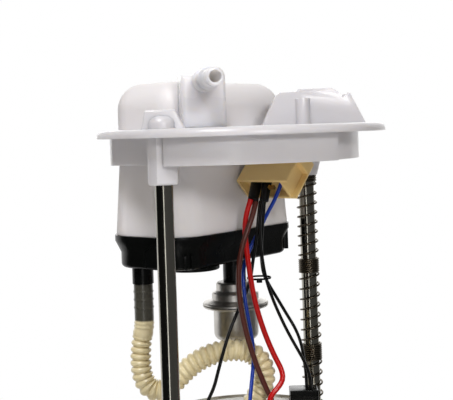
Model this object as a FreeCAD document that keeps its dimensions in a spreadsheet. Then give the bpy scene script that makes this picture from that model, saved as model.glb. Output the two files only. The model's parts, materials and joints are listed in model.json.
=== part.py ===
import FreeCAD, Part
import Sketcher
import math
import os

# Electric fuel pump module for a fuel tank, in millimetres. The origin is on the
# flange's axis at its seat on the tank, +Z is up and +X runs from one guide rod to the other.

V = FreeCAD.Vector
DOC = FreeCAD.newDocument("fuel_pump_module")
SHEET = DOC.addObject("Spreadsheet::Sheet", "Sizes")

SIZES = (
    # flange
    ("flange_radius", 68.0), ("flange_top", 3.8), ("deck_under", 0.8), ("rim_round", 3.0),
    ("skirt_radius", 62.0), ("skirt_recess", 55.5), ("skirt_wall", 2.2), ("skirt_depth", 12.2),
    ("skirt_flat", 51.0), ("recess_from", 260.0), ("recess_to", 350.0), ("skirt_step", 5.9),
    ("fit_gap", 0.15), ("press_gap", 0.03),
    # guide rods, their bosses, clips and spring
    ("rod_left", 55.4), ("rod_right", 54.0), ("rod_radius", 4.0), ("rod_top", 9.0), ("rod_end", 186.0),
    ("rod_slip", 0.25), ("boss_width", 13.2), ("boss_top", 12.0),
    ("boss_round", 1.2), ("boss_reach", 9.8), ("boss_near", 5.2), ("boss_far", 8.4), ("boss_half", 5.6),
    ("left_boss_depth", 20.4), ("cone_top", 8.5), ("cone_low", 5.8), ("cone_depth", 22.0),
    ("clip_radius", 5.8), ("clip_thick", 1.0), ("clip_gap", 0.3),
    ("spring_radius", 4.9), ("spring_wire", 1.0), ("spring_pitch", 5.1),
    # filter canister and lid
    ("canister_radius", 58.0), ("canister_front", 3.5), ("canister_left", 41.5),
    ("canister_right", 45.5), ("corner_left", 14.0), ("corner_right", 13.0), ("corner_back", 14.0),
    ("canister_top", 25.6), ("canister_round", 12.5), ("canister_wall", 2.2), ("canister_low", 45.3),
    ("canister_draft", 2.4),
    ("lid_lip", 3.2), ("lid_rim", 2.7), ("lid_taper", 5.5), ("lid_inset", 2.7),
    ("lid_depth", 7.1), ("lid_wall", 2.0), ("lid_round", 2.0),
    ("element_x", 2.0), ("element_y", 30.5), ("pleat_count", 26.0), ("pleat_outer", 21.5),
    ("pleat_inner", 15.5), ("cap_thick", 2.0), ("core_radius", 14.0), ("cap_lap", 4.0),
    # outlet port
    ("port_x", -38.1), ("port_y", -10.0), ("port_angle", 229.0), ("tower_width", 20.0),
    ("tower_length", 34.0), ("tower_top", 27.0), ("tower_round", 2.5), ("nipple_axis", 24.6),
    ("nipple_length", 30.0), ("nipple_radius", 3.95), ("nipple_bore", 2.6),
    ("collar_radius", 5.4), ("collar_length", 3.0), ("bead_radius", 4.9), ("bead_from_tip", 14.5),
    ("bead_width", 2.0),
    # harness socket
    ("socket_angle", -51.5), ("socket_width", 20.0), ("socket_back", 10.2), ("socket_mouth", 48.0),
    ("socket_end", 58.3), ("socket_top", 20.4), ("cavity_back", 31.0), ("cavity_floor", 6.3),
    ("cavity_roof", 17.8), ("cavity_width", 15.4), ("pilaster_radius", 3.3), ("pilaster_at", 29.2),
    ("pilaster_top", 16.0), ("latch_from", 36.5), ("latch_to", 42.5), ("latch_width", 8.0),
    ("pin_pitch", 3.6), ("pin_width", 2.2), ("pin_thick", 0.8), ("pin_bend", 25.2),
    ("pin_tip", 42.0), ("pin_level", 12.4), ("pin_low", 2.6),
    # underside plug
    ("plug_x", 0.5), ("plug_y", -13.8), ("plug_z", -26.0), ("plug_tilt", 45.0),
    ("plug_thick", 12.6), ("plug_width", 29.0), ("plug_length", 21.0), ("plug_round", 0.8),
    ("plug_wall", 1.3), ("plug_mouth", 4.0), ("rail_depth", 3.0), ("rail_length", 14.0),
    ("seat_height", 24.0), ("lock_thick", 1.2), ("lock_width", 14.0),
    # hose stub and regulator
    ("hose_x", -34.8), ("hose_y", 33.8), ("stub_radius", 5.0), ("stub_end", 68.2),
    ("barb_radius", 3.6), ("barb_ridge", 4.0), ("barb_end", 83.0), ("barb_bore", 2.4),
    ("hose_radius", 4.8), ("hose_gap", 0.05),
    ("valve_x", 6.2), ("valve_y", 11.4), ("neck_radius", 5.6), ("neck_end", 71.3),
    ("cover_radius", 9.15), ("cover_step", 11.4), ("cover_level", 76.0), ("ring_level", 80.8),
    ("ring_radius", 16.0), ("ring_thick", 1.2), ("membrane_thick", 0.4), ("cup_radius", 10.8),
    ("cup_low", 99.4), ("cup_round", 3.5), ("cup_wall", 1.2),
    # reservoir
    ("reservoir_radius", 48.0), ("reservoir_wall", 2.2), ("reservoir_top", 140.0),
    ("floor_gap", 8.0), ("foot_height", 8.0), ("slot_width", 14.0),
    ("slot_height", 5.0), ("sleeve_radius", 7.0), ("sleeve_top", 142.0), ("sleeve_end", 178.0),
    ("cover_thick", 3.0), ("deck_radius", 36.0), ("deck_rise", 6.0), ("deck_wall", 2.0),
    # pump
    ("pump_x", 2.0), ("pump_y", -8.0), ("shell_radius", 19.0), ("shell_wall", 1.2),
    ("shell_top", 146.0), ("shell_low", 214.0), ("head_top", 141.0), ("outlet_x", -7.2),
    ("outlet_y", -7.2), ("outlet_radius", 5.0), ("outlet_tip", 125.5), ("outlet_bore", 2.6),
    ("magnet_inner", 13.4), ("magnet_gap", 0.1), ("magnet_top", 164.0), ("magnet_low", 198.0),
    ("armature_radius", 12.6), ("armature_slots", 8.0), ("armature_top", 166.0),
    ("armature_low", 196.0), ("shaft_radius", 1.6), ("shaft_slip", 0.05), ("commutator_radius", 5.0),
    ("commutator_top", 153.0), ("commutator_low", 160.0), ("impeller_radius", 14.5),
    ("impeller_thick", 2.6), ("impeller_blades", 20.0), ("chamber_thick", 4.0),
    ("impeller_gap", 0.3), ("chamber_rise", 12.0), ("brush_long", 5.0),
    ("brush_wide", 4.0), ("brush_tall", 6.5),
    # plugs on the reservoir cover, level sender
    ("plug2_x", -10.2), ("plug2_y", -20.8), ("plug2_long", 16.0), ("plug2_wide", 9.0),
    ("plug2_top", 127.0), ("sender_x", 34.6), ("sender_y", -7.5), ("sender_long", 14.0),
    ("sender_wide", 11.0), ("sender_top", 127.1), ("bush_radius", 2.6), ("bush_height", 5.0),
    ("track_y", -47.0), ("track_top", 152.0), ("track_low", 208.0), ("track_width", 34.0),
    ("track_thick", 6.0), ("pivot_level", 175.0), ("pivot_radius", 2.0), ("pivot_length", 6.0),
    ("arm_radius", 1.1), ("arm_reach", 75.0), ("arm_drop", 35.0), ("float_long", 28.0),
    ("float_wide", 13.0), ("float_tall", 15.0), ("float_round", 4.0),
)
for row, (word, number) in enumerate(SIZES, 1):
    SHEET.set(f"A{row}", f"{number}")
    SHEET.setAlias(f"A{row}", word)
DOC.recompute()


class Dim:
    """A number together with the sheet formula that gives it."""

    def __init__(self, value, formula):
        self.value = float(value)
        self.formula = formula

    def __add__(self, other):
        other = dim(other)
        return Dim(self.value + other.value, f"({self.formula} + {other.formula})")

    def __sub__(self, other):
        other = dim(other)
        return Dim(self.value - other.value, f"({self.formula} - {other.formula})")

    def __mul__(self, other):
        other = dim(other)
        return Dim(self.value * other.value, f"({self.formula} * {other.formula})")

    def __truediv__(self, other):
        other = dim(other)
        return Dim(self.value / other.value, f"({self.formula} / {other.formula})")

    def __neg__(self):
        return Dim(-self.value, f"(0 - {self.formula})")

    def __radd__(self, other):
        return dim(other) + self

    def __rsub__(self, other):
        return dim(other) - self

    def __rmul__(self, other):
        return dim(other) * self


def dim(number):
    """A plain number as a Dim; a Dim stays as it is."""
    return number if isinstance(number, Dim) else Dim(number, f"{number}")


def leg(slant, side):
    """The third side of a right triangle."""
    slant, side = dim(slant), dim(side)
    return Dim(math.sqrt(slant.value ** 2 - side.value ** 2),
               f"sqrt(({slant.formula}) ^ 2 - ({side.formula}) ^ 2)")


def polar(radius, angle):
    """The point at a radius and an angle in degrees."""
    radius, angle = dim(radius), dim(angle)
    turn = math.radians(angle.value)
    return (Dim(radius.value * math.cos(turn), f"({radius.formula} * cos({angle.formula}))"),
            Dim(radius.value * math.sin(turn), f"({radius.formula} * sin({angle.formula}))"))


class SheetSizes:
    """The sheet's cells as Dims, by alias."""

    def __getattr__(self, word):
        return Dim(float(SHEET.get(word)), f"Sizes.{word}")


S = SheetSizes()
RESERVOIR_FLOOR = S.shell_low + S.floor_gap
RESERVOIR_FOOT = RESERVOIR_FLOOR + S.foot_height
DECK_TOP = S.reservoir_top - S.deck_rise
CHAMBER_LEVEL = S.shell_low - S.chamber_rise
NODES = []


def node(thing, label):
    """Names a finished piece and puts it on the export list."""
    thing.Label = label
    NODES.append((label, thing))
    return thing


def bind(thing, name, size):
    """Ties a property to the sheet."""
    thing.setExpression(name, dim(size).formula)


def place(thing, x=0, y=0, z=0, turn=None):
    """Sets where a piece stands; turn is its rotation."""
    spot = [dim(x), dim(y), dim(z)]
    thing.Placement = FreeCAD.Placement(V(*[d.value for d in spot]), turn or FreeCAD.Rotation())
    for axis, size in zip("xyz", spot):
        bind(thing, f"Placement.Base.{axis}", size)
    return thing


def new_body(name):
    return DOC.addObject("PartDesign::Body", name)


def sketch(body, plane, level=0):
    """An empty sketch on one of the body's origin planes, raised by level along its normal."""
    flat = body.newObject("Sketcher::SketchObject", body.Name + "_sketch")
    support = next(f for f in body.Origin.OriginFeatures if f.Role == plane)
    flat.AttachmentSupport = (support, [""])
    flat.MapMode = "FlatFace"
    level = dim(level)
    flat.AttachmentOffset = FreeCAD.Placement(V(0, 0, level.value), FreeCAD.Rotation())
    bind(flat, "AttachmentOffset.Base.z", level)
    return flat


def draw(flat, steps):
    """Draws a closed outline. A step (u, v) starts a line, (u, v, radius) an arc to the next
    step, whose centre lies to the left for a positive radius."""
    ends = []
    points = [(dim(step[0]), dim(step[1])) for step in steps]
    first = flat.GeometryCount
    for i, step in enumerate(steps):
        a = V(points[i][0].value, points[i][1].value, 0)
        b_point = points[(i + 1) % len(steps)]
        b = V(b_point[0].value, b_point[1].value, 0)
        if len(step) == 2:
            flat.addGeometry(Part.LineSegment(a, b), False)
            ends.append((1, 2))
            continue
        radius = dim(step[2])
        side = 1 if radius.value > 0 else -1
        half = (b - a) / 2
        rise = math.sqrt(max(radius.value ** 2 - half.Length ** 2, 0))
        across = V(-half.y, half.x, 0).normalize() * rise * side
        centre = a + half + across
        start, stop = (a, b) if side > 0 else (b, a)
        angles = [math.atan2(p.y - centre.y, p.x - centre.x) for p in (start, stop)]
        circle = Part.Circle(centre, V(0, 0, 1), abs(radius.value))
        flat.addGeometry(Part.ArcOfCircle(circle, *angles), False)
        ends.append((1, 2) if side > 0 else (2, 1))
    for i, step in enumerate(steps):
        after = (i + 1) % len(steps)
        flat.addConstraint(Sketcher.Constraint(
            "Coincident", first + i, ends[i][1], first + after, ends[after][0]))
        for kind, size in zip(("DistanceX", "DistanceY"), points[i]):
            index = flat.addConstraint(Sketcher.Constraint(
                kind, -1, 1, first + i, ends[i][0], size.value))
            flat.setExpression(f"Constraints[{index}]", size.formula)
        if len(step) == 3:
            radius = dim(step[2])
            if radius.value < 0:
                radius = -radius
            index = flat.addConstraint(Sketcher.Constraint("Radius", first + i, radius.value))
            flat.setExpression(f"Constraints[{index}]", radius.formula)


def ring(flat, u, v, radius):
    """Draws a circle."""
    u, v, radius = dim(u), dim(v), dim(radius)
    circle = Part.Circle(V(u.value, v.value, 0), V(0, 0, 1), radius.value)
    index = flat.addGeometry(circle, False)
    for kind, size in (("DistanceX", u), ("DistanceY", v)):
        number = flat.addConstraint(Sketcher.Constraint(kind, -1, 1, index, 3, size.value))
        flat.setExpression(f"Constraints[{number}]", size.formula)
    number = flat.addConstraint(Sketcher.Constraint("Radius", index, radius.value))
    flat.setExpression(f"Constraints[{number}]", radius.formula)


def outline(body, plane, steps, level=0):
    flat = sketch(body, plane, level)
    draw(flat, steps)
    return flat


def discs(body, centres, radius, level=0, plane="XY_Plane"):
    flat = sketch(body, plane, level)
    for u, v in centres:
        ring(flat, u, v, radius)
    return flat


def extrude(body, flat, length, kind="Pad", back=False, midplane=False):
    """Pads a sketch along its normal, or pockets against it; back turns either one round."""
    step = body.newObject("PartDesign::" + kind, body.Name + "_" + kind)
    step.Profile = flat
    step.Length = dim(length).value
    bind(step, "Length", length)
    step.Midplane = midplane
    step.Reversed = back
    return step


def revolve(body, flat, kind="Revolution"):
    step = body.newObject("PartDesign::" + kind, body.Name + "_" + kind)
    step.Profile = flat
    step.ReferenceAxis = (flat, ["V_Axis"])
    step.Angle = 360.0
    return step


def turned(name, steps, x=0, y=0, z=0, turn=None):
    """A turned piece: the outline (radius, height) spun about its own axis."""
    body = new_body(name)
    revolve(body, outline(body, "XZ_Plane", steps))
    return place(body, x, y, z, turn)


def prism(name, steps, low, height):
    body = new_body(name)
    extrude(body, outline(body, "XY_Plane", steps, low), height)
    return body


def round_edges(body, radius, choose):
    """Rounds the edges of the body's last feature that choose(edge) picks."""
    DOC.recompute()
    last = body.Tip
    names = [f"Edge{i}" for i, edge in enumerate(last.Shape.Edges, 1) if choose(edge)]
    step = body.newObject("PartDesign::Fillet", body.Name + "_round")
    step.Base = (last, names)
    step.Radius = dim(radius).value
    bind(step, "Radius", radius)
    return step


def level_edge(level):
    """Picks edges that lie at one height."""
    height = dim(level).value
    return lambda e: abs(e.BoundBox.ZMin - height) < 1e-4 and abs(e.BoundBox.ZMax - height) < 1e-4


def upright(edge):
    """Picks straight edges along Z."""
    box = edge.BoundBox
    return box.XLength < 1e-4 and box.YLength < 1e-4 and box.ZLength > 1


def cut(name, base, tool):
    thing = DOC.addObject("Part::Cut", name)
    thing.Base = base
    thing.Tool = tool
    return thing


def fuse(name, pieces):
    thing = DOC.addObject("Part::MultiFuse", name)
    thing.Shapes = pieces
    return thing


def cylinder(name, radius, low, height, x=0, y=0):
    thing = DOC.addObject("Part::Cylinder", name)
    thing.Radius = dim(radius).value
    thing.Height = dim(height).value
    bind(thing, "Radius", radius)
    bind(thing, "Height", height)
    return place(thing, x, y, low)


def tube(name, outer, inner, low, height, x=0, y=0):
    """A plain tube."""
    body = new_body(name)
    flat = sketch(body, "XY_Plane")
    ring(flat, 0, 0, outer)
    ring(flat, 0, 0, inner)
    extrude(body, flat, height)
    return place(body, x, y, low)


def box(name, size, x, y, z, turn=None):
    """A box standing on (x, y, z) by the middle of its underside."""
    body = new_body(name)
    u, v = dim(size[0]) / 2, dim(size[1]) / 2
    extrude(body, outline(body, "XY_Plane", [(-u, -v), (u, -v), (u, v), (-u, v)]), size[2])
    return place(body, x, y, z, turn)


def canister_outline(grow):
    """Plan of the filter canister, moved outwards by grow."""
    left, right = -(S.canister_left + grow), S.canister_right + grow
    front, back = S.canister_front - grow, S.canister_radius + grow
    near_left, near_right = S.corner_left + grow, S.corner_right + grow
    middle = S.canister_radius - S.corner_back
    rear_right = S.canister_right - S.corner_back
    rear_left = S.canister_left - S.corner_back
    high_right, high_left = leg(middle, rear_right), leg(middle, rear_left)
    share = back / middle
    corner = S.corner_back + grow
    return [(left + near_left, front), (right - near_right, front, near_right),
            (right, front + near_right), (right, high_right, corner),
            (rear_right * share, high_right * share, back),
            (-rear_left * share, high_left * share, corner),
            (left, high_left), (left, front + near_left, near_left)]


def skirt_outline(shrink):
    """Plan of the skirt below the flange, moved inwards by shrink."""
    outer, inner = S.skirt_radius - shrink, S.skirt_recess - shrink
    flat = -(S.skirt_flat - shrink)
    turn = dim(shrink) / S.skirt_radius * (180 / math.pi)
    from_angle, to_angle = S.recess_from - turn, S.recess_to + turn
    step = S.skirt_step + shrink
    return [(*polar(outer, to_angle), outer), (flat, leg(outer, flat)), (flat, -step),
            (-leg(outer, step), -step, outer), polar(outer, from_angle),
            (*polar(inner, from_angle), inner), polar(inner, to_angle)]


def about_z(degrees):
    return FreeCAD.Rotation(V(0, 0, 1), degrees)


# Flange cover: deck with a rounded rim, skirt, rod bosses and the seat of the underside plug.
deck = new_body("deck")
inside = S.skirt_radius - S.skirt_wall
revolve(deck, outline(deck, "XZ_Plane", [
    (0, S.deck_under), (inside, S.deck_under), (inside, 0), (S.flange_radius, 0),
    (S.flange_radius, S.flange_top - S.rim_round, S.rim_round),
    (S.flange_radius - S.rim_round, S.flange_top), (0, S.flange_top)]))
extrude(deck, outline(deck, "XY_Plane", skirt_outline(0), -S.skirt_depth),
        S.skirt_depth + S.deck_under)
extrude(deck, outline(deck, "XY_Plane", skirt_outline(S.skirt_wall), -S.skirt_depth),
        S.skirt_depth + S.deck_under, "Pocket", back=True)

left_block = box("left_block", (S.boss_width, S.boss_width, S.left_boss_depth + S.deck_under),
                 -S.rod_left, 0, -S.left_boss_depth, about_z(S.socket_angle.value))
bind(left_block, "Placement.Rotation.Angle", S.socket_angle)
round_edges(left_block, S.boss_round, lambda e: level_edge(0)(e) or upright(e))
left_boss = DOC.addObject("Part::Common", "left_boss")
left_boss.Base = left_block
left_boss.Tool = cylinder("boss_bound", S.skirt_radius, -S.left_boss_depth - 1,
                          S.left_boss_depth + S.deck_under + 1)
right_boss = turned("right_boss", [
    (0, -S.cone_depth), (S.cone_low, -S.cone_depth), (S.cone_top, -S.skirt_depth),
    (S.cone_top, S.deck_under), (0, S.deck_under)], S.rod_right)
top_bosses = []
for side, offset, steep in (("left", -S.rod_left, -1), ("right", S.rod_right, 1)):
    boss = new_body(f"{side}_top_boss")
    low, high = S.flange_top - S.deck_under / 2, S.boss_top
    inner_top, outer_top = -steep * S.boss_near, steep * S.boss_far
    if steep < 0:
        inner_top, outer_top = outer_top, inner_top
    wide = outline(boss, "XY_Plane", [
        (-S.boss_reach, -S.boss_half), (S.boss_reach, -S.boss_half),
        (S.boss_reach, S.boss_half), (-S.boss_reach, S.boss_half)], low)
    narrow = outline(boss, "XY_Plane", [
        (inner_top, -S.boss_half), (outer_top, -S.boss_half),
        (outer_top, S.boss_half), (inner_top, S.boss_half)], high)
    sides = boss.newObject("PartDesign::AdditiveLoft", f"{side}_boss_sides")
    sides.Profile = wide
    sides.Sections = [narrow]
    sides.Ruled = True
    round_edges(boss, S.boss_round, lambda e: e.BoundBox.ZLength > 5)
    place(boss, offset, 0, 0, about_z(S.socket_angle.value))
    bind(boss, "Placement.Rotation.Angle", S.socket_angle)
    top_bosses.append(boss)
plug_turn = FreeCAD.Rotation(V(0, 1, 0), S.plug_tilt.value)
rise_x, rise_z = polar(S.plug_length, 90 - S.plug_tilt)
plug_seat = box("plug_seat", (S.plug_thick - 2, S.plug_width - 2, S.seat_height),
                S.plug_x + rise_x, S.plug_y, S.plug_z + rise_z, plug_turn)
bind(plug_seat, "Placement.Rotation.Angle", S.plug_tilt)
above = cylinder("above_deck", S.flange_radius, S.flange_top - S.deck_under, S.boss_width * 2)
seat = cut("seat", plug_seat, above)


def canister_prism(name, grow, low, high):
    return prism(name, canister_outline(grow), low, dim(high) - low)


envelope = canister_prism("canister_envelope", S.fit_gap, -S.canister_low - S.lid_rim,
                          S.canister_top + S.boss_width)


def rod_holes(name, gap, low, height):
    """Two cylinders about the guide rods' axes."""
    holes = new_body(name)
    extrude(holes, discs(holes, [(S.rod_right, 0), (-S.rod_left, 0)],
                         S.rod_radius + gap, low), height)
    return holes


def pin_body(name, order, grow):
    """One bent terminal of the harness socket."""
    body = new_body(name)
    steps = [(S.pin_bend - grow, -(S.pin_low + grow)),
             (S.pin_bend + S.pin_thick + grow, -(S.pin_low + grow)),
             (S.pin_bend + S.pin_thick + grow, S.pin_level - S.pin_thick - grow),
             (S.pin_tip, S.pin_level - S.pin_thick - grow), (S.pin_tip, S.pin_level + grow),
             (S.pin_bend - grow, S.pin_level + grow)]
    shift = -(S.pin_pitch * (order - 1.5))
    flat = outline(body, "XZ_Plane", steps, shift)
    extrude(body, flat, S.pin_width + dim(grow) * 2, midplane=True)
    body.Placement = FreeCAD.Placement(V(0, 0, 0), about_z(S.socket_angle.value))
    bind(body, "Placement.Rotation.Angle", S.socket_angle)
    return body


pin_slots = fuse("pin_slots", [pin_body(f"pin_slot_{i + 1}", i, S.press_gap) for i in range(4)])
flange_blank = fuse("flange_blank", [deck, left_boss, right_boss, *top_bosses, seat])
flange_holes = fuse("flange_holes", [
    envelope, pin_slots, rod_holes("rod_sockets", S.press_gap, -S.rod_end, S.rod_end + S.rod_top)])
node(cut("flange_cut", flange_blank, flange_holes), "flange_cover")

# Harness socket on the deck: a ramped back, a shroud with its latch window, two cheeks.
shroud = new_body("shroud")
extrude(shroud, outline(shroud, "XZ_Plane", [
    (S.socket_back, S.flange_top), (S.socket_end, S.flange_top),
    (S.socket_mouth + 3.5, S.socket_top - 2.6), (S.socket_mouth + 2.4, S.socket_top - 2.3),
    (S.socket_mouth, S.socket_top - 5), (S.socket_mouth - 2.1, S.socket_top - 1.8),
    (S.socket_mouth - 5, S.socket_top), (S.socket_back + 17.1, S.socket_top - 0.1),
    (S.socket_back + 16.2, S.socket_top - 1.2), (S.socket_back + 8.6, S.socket_top - 1.4),
    (S.socket_back + 6.7, S.socket_top - 2.7)]), S.socket_width, midplane=True)
extrude(shroud, discs(shroud, [(S.pilaster_at, -S.socket_width / 2)], S.pilaster_radius, S.flange_top),
        S.pilaster_top - S.flange_top)
extrude(shroud, outline(shroud, "XZ_Plane", [
    (S.cavity_back, S.cavity_floor), (S.socket_end + 5, S.cavity_floor),
    (S.socket_end + 5, S.socket_top + 5), (S.socket_mouth - 0.5, S.socket_top + 5),
    (S.socket_mouth - 0.5, S.cavity_roof), (S.cavity_back, S.cavity_roof)]),
    S.cavity_width, "Pocket", midplane=True)
window = S.latch_width / 2
extrude(shroud, outline(shroud, "XY_Plane", [
    (S.latch_from, -window), (S.latch_to, -window), (S.latch_to, window), (S.latch_from, window)],
    S.cavity_roof - 1), 5, "Pocket", back=True)
shroud.Placement = FreeCAD.Placement(V(0, 0, 0), about_z(S.socket_angle.value))
bind(shroud, "Placement.Rotation.Angle", S.socket_angle)
node(cut("shroud_cut", shroud, pin_slots), "harness_socket")
for i in range(4):
    node(pin_body(f"pin_{i + 1}", i, 0), f"terminal_{i + 1}")

# Outlet port: a tower in front of the canister with a horizontal quick-connect nipple.
tower = new_body("tower")
half_tower = S.tower_width / 2
extrude(tower, outline(tower, "XY_Plane", [
    (-S.tower_length, -half_tower), (0, -half_tower), (0, half_tower), (-S.tower_length, half_tower)],
    S.flange_top), S.tower_top - S.flange_top)
round_edges(tower, S.tower_round, lambda e: (
    (upright(e) and e.BoundBox.XMax > -1) or
    (level_edge(S.tower_top)(e) and e.BoundBox.XMin > -1)))
place(tower, S.port_x, S.port_y, 0, about_z(S.port_angle.value))
bind(tower, "Placement.Rotation.Angle", S.port_angle)
nipple_turn = about_z(S.port_angle.value) * FreeCAD.Rotation(V(0, 1, 0), 90)
bead_low = S.nipple_length - S.bead_from_tip - S.bead_width
nipple = turned("nipple", [
    (0, -4), (S.collar_radius, -4), (S.collar_radius, S.collar_length - 0.5),
    (S.collar_radius - 0.5, S.collar_length), (S.nipple_radius, S.collar_length),
    (S.nipple_radius, bead_low), (S.bead_radius, bead_low), (S.bead_radius, bead_low + S.bead_width),
    (S.nipple_radius, bead_low + S.bead_width + 0.8), (S.nipple_radius, S.nipple_length - 0.6),
    (S.nipple_radius - 0.6, S.nipple_length), (0, S.nipple_length)],
    S.port_x, S.port_y, S.nipple_axis, nipple_turn)
bore = turned("nipple_hole", [
    (0, -12), (S.nipple_bore, -12), (S.nipple_bore, S.nipple_length + 1), (0, S.nipple_length + 1)],
    S.port_x, S.port_y, S.nipple_axis, nipple_turn)
port_blank = fuse("port_blank", [tower, nipple])
node(cut("port_cut", port_blank, fuse("port_holes", [bore, envelope])), "outlet_port")

# Filter canister: a shell with a domed edge, open below, and its lid.


def domed(name, grow, low, high, edge):
    """The canister's form: domed on top, plain down to the skirt and flared below it."""
    body = new_body(name)
    level = -S.skirt_depth
    plan = canister_outline(grow)
    extrude(body, outline(body, "XY_Plane", plan, level), dim(high) - level)
    round_edges(body, edge, level_edge(high))
    flare = body.newObject("PartDesign::AdditiveLoft", name + "_flare")
    flare.Profile = outline(body, "XY_Plane", plan, level)
    flare.Sections = [outline(body, "XY_Plane", canister_outline(dim(grow) + S.canister_draft), low)]
    flare.Ruled = True
    return body


shell_out = domed("shell_out", dim(0), -S.canister_low, S.canister_top, S.canister_round)
shell_in = domed("shell_in", -S.canister_wall, -S.canister_low - 1, S.canister_top - S.canister_wall,
                 S.canister_round - S.canister_wall)
node(cut("housing_cut", shell_out, shell_in), "filter_housing")

lid = new_body("lid")
rim_low = S.canister_low + S.lid_rim
taper_low = rim_low + S.lid_taper
lid_low = taper_low + S.lid_depth
waist = S.lid_lip - S.lid_inset
extrude(lid, outline(lid, "XY_Plane", canister_outline(S.lid_lip), -rim_low), S.lid_rim)
taper = lid.newObject("PartDesign::AdditiveLoft", "lid_taper")
taper.Profile = outline(lid, "XY_Plane", canister_outline(S.lid_lip), -rim_low)
taper.Sections = [outline(lid, "XY_Plane", canister_outline(waist), -taper_low)]
taper.Ruled = True
extrude(lid, outline(lid, "XY_Plane", canister_outline(waist), -lid_low), S.lid_depth)
round_edges(lid, S.lid_round, level_edge(-lid_low))
extrude(lid, outline(lid, "XY_Plane", canister_outline(waist - S.lid_wall), -lid_low + S.lid_wall),
        lid_low, "Pocket", back=True)
ridges = 3
ridge_pitch = (S.barb_end - S.stub_end) / (ridges + 1)
barb_steps = [(0, -S.barb_end), (S.barb_radius - 0.6, -S.barb_end)]
for i in range(ridges):
    level = -S.barb_end + ridge_pitch * (i + 1)
    barb_steps += [(S.barb_ridge, level - 0.4), (S.barb_ridge, level), (S.barb_radius, level)]
barb_steps += [(S.barb_radius, -S.stub_end), (S.stub_radius, -S.stub_end),
               (S.stub_radius, -lid_low + 1), (0, -lid_low + 1)]
hose_stub = turned("hose_stub", barb_steps, S.hose_x, S.hose_y)
neck = turned("valve_neck", [
    (0, -S.neck_end), (S.neck_radius, -S.neck_end), (S.neck_radius, -lid_low + 1),
    (0, -lid_low + 1)], S.valve_x, S.valve_y)
lid_holes = fuse("lid_holes", [
    cylinder("barb_hole", S.barb_bore, -S.barb_end - 1, S.barb_end, S.hose_x, S.hose_y),
    cylinder("neck_hole", S.barb_bore, -S.neck_end - 1, S.neck_end - S.canister_low,
             S.valve_x, S.valve_y)])
node(cut("lid_cut", fuse("lid_blank", [lid, hose_stub, neck]), lid_holes), "filter_lid")

# Filter element: pleated paper between two end caps.
element_low = lid_low - S.lid_wall - S.fit_gap
element_high = S.canister_top - S.canister_wall - S.canister_round
pleats = new_body("pleats")
steps = []
count = int(S.pleat_count.value)
for i in range(count):
    steps.append(polar(S.pleat_outer, 360 / count * i))
    steps.append(polar(S.pleat_inner, 360 / count * (i + 0.5)))
extrude(pleats, outline(pleats, "XY_Plane", steps, -element_low + S.cap_thick),
        element_high + element_low - S.cap_thick * 2)
extrude(pleats, discs(pleats, [(0, 0)], S.core_radius, -element_low + S.cap_thick),
        element_high + element_low, "Pocket", back=True)
node(place(pleats, S.element_x, S.element_y), "filter_element")
for label, low in (("filter_cap_top", element_high - S.cap_thick), ("filter_cap_bottom", -element_low)):
    node(tube(label + "_disc", S.pleat_outer + 1, S.core_radius - S.cap_lap, low, S.cap_thick,
              S.element_x, S.element_y), label)

# Pressure regulator below the lid.
clamp = S.ring_level + S.ring_thick
bend = S.cup_wall
rim_edge = S.ring_radius - S.ring_thick
node(turned("valve_cover", [
    (S.neck_radius - 3, -S.neck_end), (S.cover_radius - bend, -S.neck_end, -bend),
    (S.cover_radius, -S.neck_end - bend), (S.cover_radius, -S.cover_level + 0.8),
    (S.cover_step - bend, -S.cover_level, -bend), (S.cover_step, -S.cover_level - bend),
    (S.cover_step, -S.ring_level + 1.2), (rim_edge, -S.ring_level, -S.ring_thick),
    (S.ring_radius, -clamp), (S.cover_step - 2, -clamp),
    (S.cover_step - 2, -S.cover_level - 2), (S.neck_radius - 3, -S.cover_level - 2)],
    S.valve_x, S.valve_y), "regulator_cover")
node(tube("membrane", S.ring_radius - 0.5, 3.2, -clamp - S.membrane_thick, S.membrane_thick,
          S.valve_x, S.valve_y), "regulator_diaphragm")
cup_top = clamp + S.membrane_thick
cup_inner = S.cup_radius - S.cup_wall
node(turned("valve_cup", [
    (cup_inner, -cup_top), (cup_inner, -S.cup_low + S.cup_round),
    (cup_inner - S.cup_round + S.cup_wall, -S.cup_low + S.cup_wall), (0, -S.cup_low + S.cup_wall),
    (0, -S.cup_low), (S.cup_radius - S.cup_round, -S.cup_low, S.cup_round),
    (S.cup_radius, -S.cup_low + S.cup_round), (S.cup_radius, -cup_top - S.ring_thick),
    (rim_edge, -cup_top - S.ring_thick, S.ring_thick), (S.ring_radius, -cup_top)],
    S.valve_x, S.valve_y), "regulator_cup")
valve_top = S.cover_level + 2.4
node(turned("valve_poppet", [
    (0, -cup_top - 1.6), (5, -cup_top - 1.6), (5, -cup_top - 0.6), (2.8, -cup_top - 0.6),
    (2.8, -valve_top - 0.8), (0, -valve_top - 0.8)], S.valve_x, S.valve_y), "regulator_valve")


def coil(radius, wire, pitch, height):
    """A helical wire of square section, standing on z = 0."""
    helix = Part.makeHelix(pitch, height, radius)
    half = wire / 2
    corners = [V(radius - half, 0, 0), V(radius, 0, -half), V(radius + half, 0, 0), V(radius, 0, half)]
    section = Part.makePolygon(corners + corners[:1])
    return Part.Wire(helix.Edges).makePipeShell([section], True, True)


def sprung(label, shape, x, y, z):
    thing = DOC.addObject("Part::Feature", label + "_coil")
    thing.Shape = shape
    return node(place(thing, x, y, z), label)


valve_wire = S.spring_wire * 0.9
valve_room = S.cup_low - S.cup_wall - cup_top - 1.6 - valve_wire
valve_turns = 4
valve_spring = coil(3.8, valve_wire.value, valve_room.value / valve_turns, valve_room.value)
sprung("regulator_spring", valve_spring, S.valve_x, S.valve_y, -S.cup_low + S.cup_wall + valve_wire / 2)

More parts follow.
